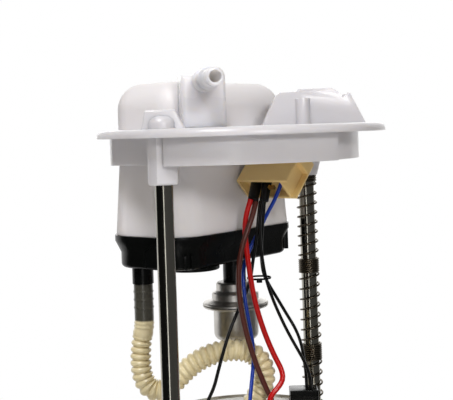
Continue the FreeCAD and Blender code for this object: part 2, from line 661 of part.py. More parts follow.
# Guide rods with their clips, and the spring on the right rod.
for side, offset in (("left", -S.rod_left), ("right", S.rod_right)):
    rod = turned(f"rod_{side}", [
        (0, -S.rod_end), (S.rod_radius - 0.8, -S.rod_end), (S.rod_radius, -S.rod_end + 0.8),
        (S.rod_radius, S.rod_top - S.press_gap), (0, S.rod_top - S.press_gap)], offset)
    node(rod, f"guide_rod_{side}")
    low = S.sleeve_end + S.clip_gap + S.clip_thick
    node(tube(f"clip_{side}", S.clip_radius, S.rod_radius + S.press_gap, -low, S.clip_thick, offset),
         f"rod_clip_{side}")

closed_groups = ((S.cone_depth.value, 4.2), (64.8, 8.2), (108.8, 9.5), (S.sleeve_top.value - 3.2, 3.2))
radius, wire = S.spring_radius.value, S.spring_wire.value
turns = []
for top, height in closed_groups:
    outer = Part.makeCylinder(radius + wire / 2, height, V(0, 0, -top - height))
    inner = Part.makeCylinder(radius - wire / 2, height, V(0, 0, -top - height))
    turns.append(outer.cut(inner))
for (top, height), (below, _) in zip(closed_groups, closed_groups[1:]):
    low, high = -below + wire * 0.55, -top - height - wire * 0.55
    open_turns = round((high - low) / S.spring_pitch.value)
    part = coil(radius, wire, (high - low) / open_turns, high - low)
    part.translate(V(0, 0, low))
    turns.append(part)
sprung("spring", Part.makeCompound(turns), S.rod_right, 0, 0)

# Underside plug, leaning: open round the wires, with a rail at one side, and its lock bar.
plug = new_body("plug_shell")
u, v = S.plug_thick / 2, S.plug_width / 2
extrude(plug, outline(plug, "XY_Plane", [(-u, -v), (u, -v), (u, v), (-u, v)]), S.plug_length)
round_edges(plug, S.plug_round, upright)
extrude(plug, outline(plug, "XY_Plane", [
    (S.plug_wall - u, -v - 1), (u - S.plug_wall, -v - 1), (u - S.plug_wall, S.rail_depth - v),
    (S.plug_wall - u, S.rail_depth - v)]), S.rail_length, "Pocket", back=True)
inner_v = v - S.rail_depth - S.plug_wall
extrude(plug, outline(plug, "XY_Plane", [
    (S.plug_wall - u, -inner_v), (u - S.plug_wall, -inner_v), (u - S.plug_wall, v - S.plug_wall),
    (S.plug_wall - u, v - S.plug_wall)]), S.plug_mouth, "Pocket", back=True)
place(plug, S.plug_x, S.plug_y, S.plug_z, plug_turn)
bind(plug, "Placement.Rotation.Angle", S.plug_tilt)
node(plug, "plug")
lock = new_body("lock")
extrude(lock, outline(lock, "XY_Plane", [
    (-u + 2, v), (u - 2, v), (u - 2, v + S.lock_thick), (-u + 2, v + S.lock_thick)], 3), S.lock_width / 2)
place(lock, S.plug_x, S.plug_y, S.plug_z, plug_turn)
bind(lock, "Placement.Rotation.Angle", S.plug_tilt)
node(lock, "plug_lock")

# Reservoir: cup with a slotted foot and two guide sleeves, and its cover with the raised deck.
cup = new_body("cup")
outer, inner = S.reservoir_radius, S.reservoir_radius - S.reservoir_wall
revolve(cup, outline(cup, "XZ_Plane", [
    (0, -RESERVOIR_FLOOR - S.reservoir_wall), (inner, -RESERVOIR_FLOOR - S.reservoir_wall),
    (inner, -RESERVOIR_FOOT), (outer, -RESERVOIR_FOOT), (outer, -S.reservoir_top),
    (inner, -S.reservoir_top), (inner, -RESERVOIR_FLOOR), (0, -RESERVOIR_FLOOR)]))
extrude(cup, outline(cup, "XZ_Plane", [
    (-S.slot_width / 2, -RESERVOIR_FOOT - 1), (S.slot_width / 2, -RESERVOIR_FOOT - 1),
    (S.slot_width / 2, -RESERVOIR_FOOT + S.slot_height),
    (-S.slot_width / 2, -RESERVOIR_FOOT + S.slot_height)]), outer * 3, "Pocket", midplane=True)
cup_parts = [cup]
sleeve_length = S.sleeve_end - S.sleeve_top
for side, offset in (("left", -S.rod_left), ("right", S.rod_right)):
    cup_parts.append(cylinder(f"sleeve_{side}", S.sleeve_radius, -S.sleeve_end, sleeve_length, offset))
for side, web_x in (("left", -(S.reservoir_radius + 2)), ("right", S.reservoir_radius + 2)):
    cup_parts.append(box(f"web_{side}", (S.sleeve_radius, S.sleeve_radius - 1, sleeve_length),
                         web_x, 0, -S.sleeve_end))
cup_holes = fuse("cup_holes", [
    rod_holes("sleeve_bores", S.rod_slip, -S.sleeve_end - 1, sleeve_length + 2),
    cylinder("umbrella_hole", 2, -RESERVOIR_FOOT, 10, -26, 16)])
node(cut("cup_cut", fuse("cup_blank", cup_parts), cup_holes), "reservoir_cup")
node(turned("umbrella", [
    (0, -RESERVOIR_FLOOR - S.reservoir_wall - 0.8), (3, -RESERVOIR_FLOOR - S.reservoir_wall - 0.8),
    (3, -RESERVOIR_FLOOR - S.reservoir_wall - 0.05), (1.9, -RESERVOIR_FLOOR - S.reservoir_wall - 0.05),
    (1.9, -RESERVOIR_FLOOR + 0.05), (7, -RESERVOIR_FLOOR + 0.05), (6, -RESERVOIR_FLOOR + 0.9),
    (0, -RESERVOIR_FLOOR + 1.6)], -26, 16), "umbrella_valve")

cover = new_body("cover")
deck_low = S.reservoir_top - S.cover_thick
revolve(cover, outline(cover, "XZ_Plane", [
    (S.deck_radius - S.deck_wall, -S.reservoir_top), (outer, -S.reservoir_top),
    (outer, -deck_low + 1), (outer - 1, -deck_low), (S.deck_radius, -deck_low),
    (S.deck_radius, -DECK_TOP - 1), (S.deck_radius - 1, -DECK_TOP), (0, -DECK_TOP),
    (0, -DECK_TOP - S.deck_wall), (S.deck_radius - S.deck_wall, -DECK_TOP - S.deck_wall)]))
bushes = ((-28.9, 2.8), (-23.5, -17.7))
hole_pieces = [
    cylinder("outlet_hole", S.outlet_radius + S.fit_gap, -S.reservoir_top, 10, S.outlet_x, S.outlet_y),
    cylinder("cover_notch", S.sleeve_radius + 0.5, -S.reservoir_top - 1, 10, S.rod_right),
    box("plug_hole", (S.plug2_long + S.fit_gap * 2, S.plug2_wide + S.fit_gap * 2, 10),
        S.plug2_x, S.plug2_y, -S.reservoir_top, about_z(S.socket_angle.value))]
hole_pieces.append(box("sender_hole", (S.sender_long + S.fit_gap, S.sender_wide + S.fit_gap, 10),
                       S.sender_x, S.sender_y, -deck_low, about_z(S.socket_angle.value)))
for i, (x, y) in enumerate(bushes):
    hole_pieces.append(cylinder(f"bush_hole_{i + 1}", S.bush_radius, -S.reservoir_top, 10, x, y))
node(cut("cover_cut", cover, fuse("cover_holes", hole_pieces)), "reservoir_cover")
for i, (x, y) in enumerate(bushes):
    step = -DECK_TOP
    node(turned(f"bush_{i + 1}", [
        (0, step - S.bush_height), (S.bush_radius - S.press_gap, step - S.bush_height),
        (S.bush_radius - S.press_gap, step), (S.bush_radius + 1.2, step),
        (S.bush_radius + 0.4, step + 2), (0, step + 2)], x, y), f"wire_bush_{i + 1}")

# Pump: shell, magnets, armature, impeller chamber and the outlet cap with its check valve.
at = (S.pump_x, S.pump_y)
shell_inner = S.shell_radius - S.shell_wall
node(turned("pump_tube", [
    (shell_inner, -S.shell_low), (S.shell_radius, -S.shell_low), (S.shell_radius, -S.shell_top),
    (shell_inner, -S.shell_top)], *at), "pump_shell")
head_fit = shell_inner - S.press_gap
head = turned("head", [
    (S.shaft_radius + S.shaft_slip, -S.commutator_top + 1), (head_fit, -S.commutator_top + 1),
    (head_fit, -S.shell_top), (S.shell_radius, -S.shell_top), (S.shell_radius, -S.head_top - 1),
    (S.shell_radius - 1, -S.head_top), (0, -S.head_top), (0, -S.shell_top),
    (S.shaft_radius + S.shaft_slip, -S.shell_top)], *at)
outlet = turned("outlet", [
    (0, -S.head_top), (S.outlet_radius, -S.head_top), (S.outlet_radius, -DECK_TOP + 0.5),
    (S.barb_radius, -DECK_TOP + 0.5), (S.barb_radius, -S.outlet_tip - 6),
    (S.barb_ridge, -S.outlet_tip - 6), (S.barb_radius, -S.outlet_tip - 3),
    (S.barb_ridge, -S.outlet_tip - 3), (S.barb_radius - 0.5, -S.outlet_tip), (0, -S.outlet_tip)],
    S.outlet_x, S.outlet_y)
poppet_low = S.head_top - 1
channel = turned("channel", [
    (0, -S.shell_top + 2), (1.6, -S.shell_top + 2), (1.6, -poppet_low + 0.6), (3.2, -poppet_low + 2.2),
    (3.2, -poppet_low + 7), (S.barb_bore, -poppet_low + 8), (S.barb_bore, -S.outlet_tip + 1),
    (0, -S.outlet_tip + 1)], S.outlet_x, S.outlet_y)
node(cut("head_cut", fuse("head_blank", [head, outlet]), channel), "outlet_cap")
node(turned("poppet", [
    (0, -poppet_low + 0.9), (1.2, -poppet_low + 0.9), (2.8, -poppet_low + 2.5), (2.8, -poppet_low + 4),
    (1.2, -poppet_low + 5), (0, -poppet_low + 5)], S.outlet_x, S.outlet_y), "check_valve")
for order, centre in ((1, 0), (2, 180)):
    magnet = new_body(f"magnet_body_{order}")
    outer_r = shell_inner - S.magnet_gap
    ends = (centre - 58, centre + 58)
    extrude(magnet, outline(magnet, "XY_Plane", [
        (*polar(outer_r, ends[0]), outer_r), polar(outer_r, ends[1]),
        (*polar(S.magnet_inner, ends[1]), -S.magnet_inner), polar(S.magnet_inner, ends[0])],
        -S.magnet_low), S.magnet_low - S.magnet_top)
    node(place(magnet, *at), f"magnet_{order}")

armature = new_body("armature_core")
extrude(armature, discs(armature, [(0, 0)], S.armature_radius, -S.armature_low),
        S.armature_low - S.armature_top)
slots = int(S.armature_slots.value)
slot_flat = sketch(armature, "XY_Plane", -S.armature_low)
for i in range(slots):
    turn = 360 / slots * i
    draw(slot_flat, [polar(S.armature_radius - 6, turn), polar(S.armature_radius + 1, turn - 5),
                     polar(S.armature_radius + 1, turn + 5)])
extrude(armature, slot_flat, S.armature_low - S.armature_top, "Pocket", back=True)
extrude(armature, discs(armature, [(0, 0)], S.shaft_radius, -S.armature_low - 1), S.armature_low,
        "Pocket", back=True)
node(place(armature, *at), "armature")
shaft_low = S.shell_low - S.chamber_thick / 2
node(turned("shaft_rod", [
    (0, -shaft_low), (S.shaft_radius, -shaft_low), (S.shaft_radius, -S.shell_top - 0.4),
    (0, -S.shell_top - 0.4)], *at), "shaft")
node(tube("commutator_ring", S.commutator_radius, S.shaft_radius, -S.commutator_low,
          S.commutator_low - S.commutator_top - 1, *at), "commutator")
for order, side in ((1, 1), (2, -1)):
    brush = box(f"brush_box_{order}", (S.brush_long, S.brush_wide, S.brush_tall),
                side * (S.commutator_radius + S.brush_long / 2 + 0.3) + S.pump_x, S.pump_y,
                -S.commutator_top - S.brush_tall + 1)
    node(brush, f"brush_{order}")

chamber_low = S.shell_low
node(tube("chamber_top_disc", head_fit, S.shaft_radius + S.shaft_slip, -CHAMBER_LEVEL - S.chamber_thick,
          S.chamber_thick, *at), "chamber_upper")
impeller_top = CHAMBER_LEVEL + S.chamber_thick + S.impeller_gap
chamber_floor = impeller_top + S.impeller_thick + S.impeller_gap
node(turned("chamber_low_disc", [
    (S.shaft_radius + S.shaft_slip, -chamber_low), (head_fit, -chamber_low),
    (head_fit, -CHAMBER_LEVEL - S.chamber_thick), (S.impeller_radius + 0.5, -CHAMBER_LEVEL - S.chamber_thick),
    (S.impeller_radius + 0.5, -chamber_floor), (S.shaft_radius + S.shaft_slip, -chamber_floor)], *at),
    "chamber_lower")
impeller = new_body("impeller_disc")
flat = sketch(impeller, "XY_Plane", -impeller_top - S.impeller_thick)
ring(flat, 0, 0, S.impeller_radius)
ring(flat, 0, 0, S.shaft_radius)
extrude(impeller, flat, S.impeller_thick)
blade_flat = sketch(impeller, "XY_Plane", -impeller_top - S.impeller_thick)
blades = int(S.impeller_blades.value)
for i in range(blades):
    turn = 360 / blades * i
    draw(blade_flat, [polar(S.impeller_radius - 3, turn - 4), polar(S.impeller_radius + 1, turn - 4),
                      polar(S.impeller_radius + 1, turn + 4), polar(S.impeller_radius - 3, turn + 4)])
extrude(impeller, blade_flat, S.impeller_thick, "Pocket", back=True)
node(place(impeller, *at), "impeller")
node(turned("isolator_ring", [
    (14.5, -RESERVOIR_FLOOR), (S.shell_radius + 2, -RESERVOIR_FLOOR), (S.shell_radius + 2, -S.shell_low + 6),
    (S.shell_radius + 0.05, -S.shell_low + 6), (S.shell_radius + 0.05, -S.shell_low), (14.5, -S.shell_low)],
    *at), "isolator")
node(turned("sock", [
    (0, -RESERVOIR_FLOOR + 0.3), (13, -RESERVOIR_FLOOR + 0.3), (14.2, -RESERVOIR_FLOOR + 2),
    (13, -RESERVOIR_FLOOR + 4), (4, -RESERVOIR_FLOOR + 5), (4, -S.shell_low - 0.1),
    (0, -S.shell_low - 0.1)], *at), "strainer")

# Plugs on the reservoir cover.
lead_plug = box("lead_plug", (S.plug2_long, S.plug2_wide, S.head_top - S.plug2_top),
                S.plug2_x, S.plug2_y, -S.head_top, about_z(S.socket_angle.value))
round_edges(lead_plug, S.plug_round, upright)
node(lead_plug, "pump_plug")
sender_plug = box("sender_plug", (S.sender_long, S.sender_wide, deck_low - S.sender_top),
                  S.sender_x, S.sender_y, -deck_low, about_z(S.socket_angle.value))
round_edges(sender_plug, S.plug_round, lambda e: upright(e) or level_edge(-S.sender_top)(e))
node(sender_plug, "sender_connector")

# Level sender on the cup's side: bracket with a track card, and the swinging arm with its float.
bracket = box("bracket", (S.track_width, S.track_thick * 2, S.track_low - S.track_top), 0, S.track_y - 4,
              -S.track_low)
round_edges(bracket, 2, upright)
cup_volume = cylinder("cup_volume", outer + 0.02, -RESERVOIR_FOOT, RESERVOIR_FOOT - S.reservoir_top)
pivot_face = S.track_y - 4 - S.track_thick
pivot_pin = place(cylinder("pivot_pin", S.pivot_radius, 0, S.pivot_length), 0, pivot_face + 0.1, -S.pivot_level,
                  FreeCAD.Rotation(V(1, 0, 0), 90))
node(fuse("sender_body", [cut("bracket_cut", bracket, cup_volume), pivot_pin]), "sender_bracket")
card = box("card", (S.track_width - 8, 0.8, 14), 0, pivot_face - 0.4, -S.track_low + 4)
node(card, "sender_card")
hub_gap = 0.2
arm_level = pivot_face - hub_gap - 0.9 - 2.2
hub_turn = FreeCAD.Rotation(V(1, 0, 0), 90)
hub_out = place(cylinder("hub_out", 4.5, 0, 4.0), 0, pivot_face - hub_gap - 0.9, -S.pivot_level, hub_turn)
hub_hole = place(cylinder("hub_hole", S.pivot_radius + S.rod_slip, 0, 20), 0, pivot_face + 5, -S.pivot_level,
                 hub_turn)
arm_turn = FreeCAD.Rotation(V(0, 1, 0), 90 + S.arm_drop.value)
arm = place(cylinder("arm_wire", S.arm_radius, 0, S.arm_reach), 0, arm_level, -S.pivot_level, arm_turn)
swing = fuse("swing", [hub_out, arm])
node(cut("swing_cut", swing, hub_hole), "float_arm")
reach = polar(S.arm_reach, -S.arm_drop)
bulb = box("bulb", (S.float_long, S.float_wide, S.float_tall), reach[0], arm_level,
           -S.pivot_level + reach[1] - S.float_tall / 2)
round_edges(bulb, S.float_round, lambda e: e.BoundBox.YLength > 5)
arm_slot = place(cylinder("arm_slot", S.arm_radius + S.press_gap, 0, S.arm_reach + 0.05), 0, arm_level,
                 -S.pivot_level, arm_turn)
node(cut("bulb_cut", bulb, arm_slot), "float")

# Wires and hose: straight runs joined by arcs, as chosen by hand.


def route(points):
    """A path of straight runs with an arc at each inner point, and its radii."""
    points = [V(*p) for p in points]
    edges = []
    radii = []
    start = points[0]
    for before, corner, after in zip(points, points[1:], points[2:]):
        come, leave = corner - before, after - corner
        turn = come.getAngle(leave)
        if turn < 1e-6:
            continue
        back = 0.45 * min(come.Length, leave.Length)
        radii.append(back / math.tan(turn / 2))
        first = corner - come.normalize() * back
        last = corner + leave.normalize() * back
        inward = (first + last) / 2 - corner
        sagitta = radii[-1] * (1 / math.cos(turn / 2) - 1)
        middle = corner + inward.normalize() * sagitta
        edges.append(Part.LineSegment(start, first).toShape())
        edges.append(Part.Arc(first, middle, last).toShape())
        start = last
    edges.append(Part.LineSegment(start, points[-1]).toShape())
    return Part.Wire(edges), radii


def swept(points, radius):
    path, radii = route(points)
    start = V(*points[0])
    section = Part.Wire([Part.makeCircle(radius, start, V(*points[1]) - start)])
    solid = path.makePipeShell([section], True, False)
    return solid, path.Length, radii


CORDS = {
    "wire_red": (1.25, ((-7.7, -10.6, -30.1), (-9.7, -9.6, -35.5), (-10.7, -8.9, -41.7),
                        (-11.0, -9.3, -48.6), (-11.0, -10.1, -55.9), (-10.9, -11.1, -64.2),
                        (-10.4, -12.5, -74.3), (-9.4, -14.5, -83.9), (-7.9, -17.2, -93.6),
                        (-6.1, -20.3, -102.3), (-5.1, -23.1, -107.7), (-5.9, -24.5, -111.9),
                        (-8.8, -23.8, -115.0), (-11.9, -22.2, -117.7), (-13.7, -21.2, -122.0),
                        (-13.7, -21.2, -126.95))),
    "wire_brown": (1.25, ((-5.4, -11.8, -31.2), (-8.0, -12.3, -35.8), (-11.5, -12.0, -42.0),
                          (-14.9, -10.8, -49.5), (-16.8, -9.6, -58.0), (-17.4, -9.3, -67.1),
                          (-17.3, -9.8, -77.1), (-16.3, -11.2, -87.2), (-14.9, -12.9, -96.4),
                          (-12.8, -14.6, -105.3), (-10.8, -16.3, -112.3), (-9.4, -17.8, -117.5),
                          (-8.2, -19.5, -121.4), (-8.2, -19.5, -126.95))),
    "wire_blue": (0.9, ((2.2, -21.6, -22.1), (0.6, -19.3, -29.4), (0.8, -13.7, -37.0),
                        (0.4, -9.6, -44.1), (-1.7, -6.8, -50.4), (-5.4, -5.3, -57.1),
                        (-8.3, -5.0, -64.0), (-9.7, -6.3, -71.6), (-10.6, -8.1, -80.1),
                        (-10.7, -10.0, -88.7), (-10.6, -11.4, -96.9), (-10.9, -11.6, -104.7),
                        (-13.6, -12.3, -112.3), (-18.3, -14.7, -118.2), (-23.5, -17.7, -124.0),
                        (-23.5, -17.7, -131.95))),
    "wire_black_a": (0.8, ((-4.3, -15.0, -30.0), (-5.6, -14.4, -36.0), (-6.0, -13.8, -42.9),
                           (-5.0, -13.4, -50.9), (-3.5, -13.1, -59.0), (-1.0, -12.7, -67.0),
                           (2.9, -12.5, -75.3), (8.0, -12.5, -84.1), (14.4, -12.4, -93.6),
                           (21.2, -12.6, -102.7), (27.6, -13.0, -111.2), (34.6, -12.0, -120.6),
                           (34.6, -12.0, -127.05))),
    "wire_black_b": (0.8, ((-3.2, -12.8, -31.0), (-3.2, -11.6, -37.2), (-3.4, -10.7, -44.2),
                           (-4.2, -9.7, -52.1), (-4.7, -8.3, -59.6), (-5.0, -7.1, -67.1),
                           (-7.1, -5.4, -74.4), (-11.7, -3.7, -82.2), (-16.8, -2.5, -90.7),
                           (-20.3, -1.3, -99.8), (-22.7, 0.1, -108.2), (-25.0, 1.0, -115.5),
                           (-28.9, 2.8, -122.0), (-28.9, 2.8, -131.95))),
    "wire_black_c": (0.8, ((-1.9, -14.2, -31.3), (-1.7, -13.2, -36.8), (-1.7, -12.2, -43.8),
                           (-1.3, -11.1, -51.4), (-0.6, -10.3, -59.0), (0.9, -10.0, -65.6),
                           (3.9, -10.9, -71.3), (8.9, -11.9, -78.4), (15.3, -12.6, -87.0),
                           (22.0, -13.0, -95.3), (27.1, -12.3, -103.4), (31.0, -10.8, -111.7),
                           (35.5, -8.8, -120.6), (35.5, -8.8, -127.05))),
    "hose": (4.8, ((-34.8, 33.8, -68.2), (-34.8, 33.8, -79.0), (-34.8, 33.8, -88.0),
                   (-35.7, 35.1, -94.8), (-36.3, 35.5, -101.3), (-36.5, 35.4, -107.4),
                   (-36.0, 34.5, -113.0), (-34.5, 32.2, -117.3), (-32.0, 28.8, -118.9),
                   (-29.3, 25.1, -117.6), (-26.5, 21.0, -112.6), (-23.8, 17.1, -108.1),
                   (-20.9, 13.1, -104.7), (-17.8, 8.7, -102.2), (-14.3, 3.9, -100.6),
                   (-10.6, -1.3, -100.0), (-7.1, -6.2, -101.1), (-4.4, -9.9, -104.3),
                   (-3.1, -11.8, -109.4), (-3.3, -11.7, -115.0), (-4.8, -10.1, -119.8),
                   (-6.5, -8.1, -123.2), (-7.2, -7.2, -126.6), (-7.2, -7.2, -133.4))),
}
for label, (cord_radius, points) in CORDS.items():
    solid, length, radii = swept(points, cord_radius)
    if label == "hose":
        solid = solid.cut(swept(points, S.barb_ridge.value + S.hose_gap.value)[0])
    area = math.pi * cord_radius ** 2
    print(label, "length", round(length, 1), "radii", [round(r, 1) for r in radii],
          "volume", round(solid.Volume, 1), "section x length", round(area * length, 1))
    thing = DOC.addObject("Part::Feature", label + "_tube")
    thing.Shape = solid
    node(thing, label)

# Heat-shrink sleeves over the wires at the plug, and the tie round two of them.


def sleeve_between(label, start, end, radius, small):
    start, end = V(*start), V(*end)
    axis = end - start
    cone = Part.makeCone(radius, small, axis.Length, start, axis)
    thing = DOC.addObject("Part::Feature", label + "_cone")
    thing.Shape = cone
    return node(thing, label)


sleeve_between("shrink_sleeve_1", (2.2, -7.2, -22.0), (-6.9, -11.2, -30.9), 2.7, 2.5)
sleeve_between("shrink_sleeve_2", (2.2, -13.2, -22.0), (-2.9, -14.7, -30.9), 2.3, 2.1)
tie_inner, tie_wall, tie_height = 5.2, 0.5, 0.9
tie_low = V(-2.1, -9.7, -67.6)
tie = DOC.addObject("Part::Feature", "tie_ring")
tie.Shape = Part.makeCylinder(tie_inner + tie_wall, tie_height, tie_low).cut(
    Part.makeCylinder(tie_inner, tie_height, tie_low))
node(tie, "cable_tie")

DOC.recompute()
faults = [o.Name for o in DOC.Objects if "Invalid" in o.State or "Error" in o.State]
faults += [label for label, thing in NODES if thing.Shape.isNull() or not thing.Shape.isValid()]
if faults:
    raise SystemExit(f"failed: {faults}")
os.makedirs("parts", exist_ok=True)
for label, thing in NODES:
    thing.Shape.exportStep(f"parts/{label}.step")
print(len(NODES), "nodes")
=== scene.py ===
"""Studio scene of an in-tank electric fuel pump module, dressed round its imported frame."""

import json
import logging
import math
from dataclasses import dataclass, field
from enum import Enum
from typing import Callable, Sequence

import bmesh
import bpy
from mathutils import Matrix, Vector


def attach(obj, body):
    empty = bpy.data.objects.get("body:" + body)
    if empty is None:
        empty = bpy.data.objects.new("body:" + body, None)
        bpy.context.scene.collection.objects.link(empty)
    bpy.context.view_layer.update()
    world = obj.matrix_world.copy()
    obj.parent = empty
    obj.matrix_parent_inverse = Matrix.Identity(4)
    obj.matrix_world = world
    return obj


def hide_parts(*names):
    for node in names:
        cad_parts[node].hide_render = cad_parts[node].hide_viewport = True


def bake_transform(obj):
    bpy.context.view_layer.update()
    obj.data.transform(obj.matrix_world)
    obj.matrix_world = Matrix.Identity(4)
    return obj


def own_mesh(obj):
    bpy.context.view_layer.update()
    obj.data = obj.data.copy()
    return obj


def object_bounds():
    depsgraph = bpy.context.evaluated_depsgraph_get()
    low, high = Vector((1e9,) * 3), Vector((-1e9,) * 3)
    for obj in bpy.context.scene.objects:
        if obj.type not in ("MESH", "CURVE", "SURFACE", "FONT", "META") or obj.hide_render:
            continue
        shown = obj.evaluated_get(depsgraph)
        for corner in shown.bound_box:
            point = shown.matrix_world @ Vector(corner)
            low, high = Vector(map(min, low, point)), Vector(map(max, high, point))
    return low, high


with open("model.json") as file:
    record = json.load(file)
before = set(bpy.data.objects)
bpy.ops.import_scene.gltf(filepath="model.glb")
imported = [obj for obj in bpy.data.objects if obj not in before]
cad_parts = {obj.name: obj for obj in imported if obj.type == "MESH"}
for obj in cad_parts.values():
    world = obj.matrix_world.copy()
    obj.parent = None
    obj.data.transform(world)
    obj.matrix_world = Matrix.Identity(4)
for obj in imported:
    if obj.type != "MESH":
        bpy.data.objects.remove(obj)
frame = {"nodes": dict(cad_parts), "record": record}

CAD_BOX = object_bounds()
MM = 0.001
LOG = logging.getLogger("pump_module")
Point = tuple[float, float, float]
VIEW_TURN = -51.5  # degrees about Z from +X to the photograph's right hand, as the socket lies
COAT_ROUGHNESS = 0.12
GLOW_BY_COLOUR = (1.0, 0.9, 0.75)  # red light goes deepest into a pale plastic
DRAWN_STRETCH = 0.03  # how much slower a drawn surface's pattern changes along it
BUMP_STRENGTH = 0.5
BENEATH_FADE = 0.8  # millimetres over which a see-through tube's dark stretch ends
BENEATH_SHARE = 0.93  # how much of what lies in such a tube shows
THREAD_SCALE = 0.3  # a wave texture's scale for a spacing of one
WELD = 2e-6  # metres
FLAT_ANGLE = 0.6  # degrees below which faces count as one
EDGE_ANGLE = 38.0  # degrees from which an edge is broken
CLOSE = 0.01  # millimetres within which two heights count as one


class Surface(Enum):
    """How a surface was made, which decides its pattern."""

    MOULDED = "moulded"
    DRAWN = "drawn"
    PRESSED = "pressed"
    EXTRUDED = "extruded"
    WOVEN = "woven"
    SINTERED = "sintered"


def linear(colour: str) -> tuple[float, float, float, float]:
    """Turns an sRGB hex value to linear.

    Args:
        colour: Six hex digits after a hash.

    Returns:
        Red, green, blue and alpha, linear.
    """
    parts = [int(colour[i:i + 2], 16) / 255 for i in (1, 3, 5)]
    bent = [c / 12.92 if c <= 0.04045 else ((c + 0.055) / 1.055) ** 2.4 for c in parts]
    return (*bent, 1.0)


def add_node(tree: bpy.types.NodeTree, kind: str, settings: dict | None = None,
             links: dict | None = None) -> bpy.types.Node:
    """Adds a node with its settings and links.

    Args:
        tree: The node tree.
        kind: The node's type.
        settings: Properties by name, or sockets' values by name or number.
        links: Output sockets by the name or number of the input they feed.

    Returns:
        The new node.
    """
    made = tree.nodes.new(kind)
    for key, value in (settings or {}).items():
        if isinstance(key, int) or key in made.inputs:
            made.inputs[key].default_value = value
        else:
            setattr(made, key, value)
    for key, source in (links or {}).items():
        tree.links.new(source, made.inputs[key])
    return made


@dataclass(frozen=True)
class Finish:
    """A material: what it is, how its surface was made and what that gives the eye."""

    name: str
    colour: str
    shade: str
    roughness: float
    surface: Surface = Surface.MOULDED
    metallic: float = 0.0
    ior: float = 1.46
    gloss: float = 0.5
    cloud_mm: float = 30.0
    grain_mm: float = 0.5
    grain_depth: float = 0.06
    roughness_spread: float = 0.06
    subsurface: float = 0.0
    glow_mm: float = 3.0
    coat: float = 0.0
    beneath: str = ""
    beneath_to_mm: float = 0.0

    def material(self) -> bpy.types.Material:
        """Builds the material once and finds it after that.

        Returns:
            The material.
        """
        found = bpy.data.materials.get(self.name)
        if found:
            return found
        made = bpy.data.materials.new(self.name)
        made.use_nodes = True
        tree = made.node_tree
        skin = tree.nodes["Principled BSDF"]
        for socket, value in (("Metallic", self.metallic), ("Specular IOR Level", self.gloss),
                              ("Coat Weight", self.coat), ("Coat Roughness", COAT_ROUGHNESS),
                              ("Subsurface Weight", self.subsurface),
                              ("Subsurface Scale", self.glow_mm * MM),
                              ("Subsurface Radius", GLOW_BY_COLOUR)):
            skin.inputs[socket].default_value = value
        if self.metallic == 0:
            skin.inputs["IOR"].default_value = self.ior
        spot = add_node(tree, "ShaderNodeTexCoord").outputs["Object"]
        if self.surface is Surface.DRAWN:
            spot = add_node(tree, "ShaderNodeMapping", {"Scale": (1.0, 1.0, DRAWN_STRETCH)},
                            {"Vector": spot}).outputs[0]
        cloud = add_node(tree, "ShaderNodeTexNoise", {"Scale": 1 / (self.cloud_mm * MM), "Detail": 3.0},
                         {"Vector": spot}).outputs[0]
        tree.links.new(self.tint(tree, cloud), skin.inputs["Base Color"])
        low, high = self.roughness - self.roughness_spread, self.roughness + self.roughness_spread
        spread = add_node(tree, "ShaderNodeMapRange", {3: low, 4: high}, {0: cloud})
        tree.links.new(spread.outputs[0], skin.inputs["Roughness"])
        bump = add_node(tree, "ShaderNodeBump",
                        {"Strength": BUMP_STRENGTH, "Distance": self.grain_depth * MM},
                        {"Height": self.relief(tree, spot)})
        tree.links.new(bump.outputs[0], skin.inputs["Normal"])
        return made

    def tint(self, tree: bpy.types.NodeTree, cloud: bpy.types.NodeSocket) -> bpy.types.NodeSocket:
        """Clouds the colour, and darkens a see-through tube where something lies in it.

        Args:
            tree: The node tree.
            cloud: The noise that mixes colour and shade.

        Returns:
            The colour's socket.
        """
        tint = add_node(tree, "ShaderNodeMix",
                        {"data_type": "RGBA", 6: linear(self.colour), 7: linear(self.shade)},
                        {0: cloud}).outputs[2]
        if not self.beneath:
            return tint
        along = add_node(tree, "ShaderNodeAttribute", {"attribute_name": "along_mm"})
        share = add_node(tree, "ShaderNodeMapRange",
                         {1: self.beneath_to_mm - BENEATH_FADE, 2: self.beneath_to_mm,
                          3: BENEATH_SHARE, 4: 0.0},
                         {0: along.outputs["Fac"]})
        return add_node(tree, "ShaderNodeMix", {"data_type": "RGBA", 7: linear(self.beneath)},
                        {0: share.outputs[0], 6: tint}).outputs[2]

    def relief(self, tree: bpy.types.NodeTree, spot: bpy.types.NodeSocket) -> bpy.types.NodeSocket:
        """The fine relief that the surface's making leaves.

        Args:
            tree: The node tree.
            spot: The coordinates.

        Returns:
            The height's socket.
        """
        if self.surface is Surface.WOVEN:
            threads = [add_node(tree, "ShaderNodeTexWave",
                                {"bands_direction": way,
                                 "Scale": THREAD_SCALE / (self.grain_mm * MM)},
                                {"Vector": spot}).outputs[1] for way in ("X", "Y")]
            return add_node(tree, "ShaderNodeMath", {"operation": "MAXIMUM"},
                            {0: threads[0], 1: threads[1]}).outputs[0]
        return add_node(tree, "ShaderNodeTexNoise", {"Scale": 1 / (self.grain_mm * MM), "Detail": 2.0},
                        {"Vector": spot}).outputs[0]


# Acetal, injection moulded: milky white with a soft sheen and faint flow clouds.
WHITE_ACETAL = Finish("white_acetal", "#d6d5d8", "#cfced1", 0.3, ior=1.48, subsurface=0.5, coat=0.12)
# The thin outlet nipple and the socket's walls, so thin that light passes into them; the colour is also
# set paler than the flange's acetal, painted light that lifts the shade in the nipple's bore.
THIN_LIT_ACETAL = Finish("thin_acetal_painted_light", "#eeedf0", "#e6e5e8", 0.28, ior=1.48, subsurface=1.0, glow_mm=9,
                     coat=0.12)
# The same acetal on the big thin-walled canister, its colour set lighter than the flange's as painted
# light for its lit, thin walls; it also takes some light in through its subsurface.
LIT_CANISTER_ACETAL = Finish("canister_acetal_painted_light", "#edebec", "#e6e3e3", 0.5, ior=1.48, gloss=0.3,
                         cloud_mm=60, subsurface=0.3)
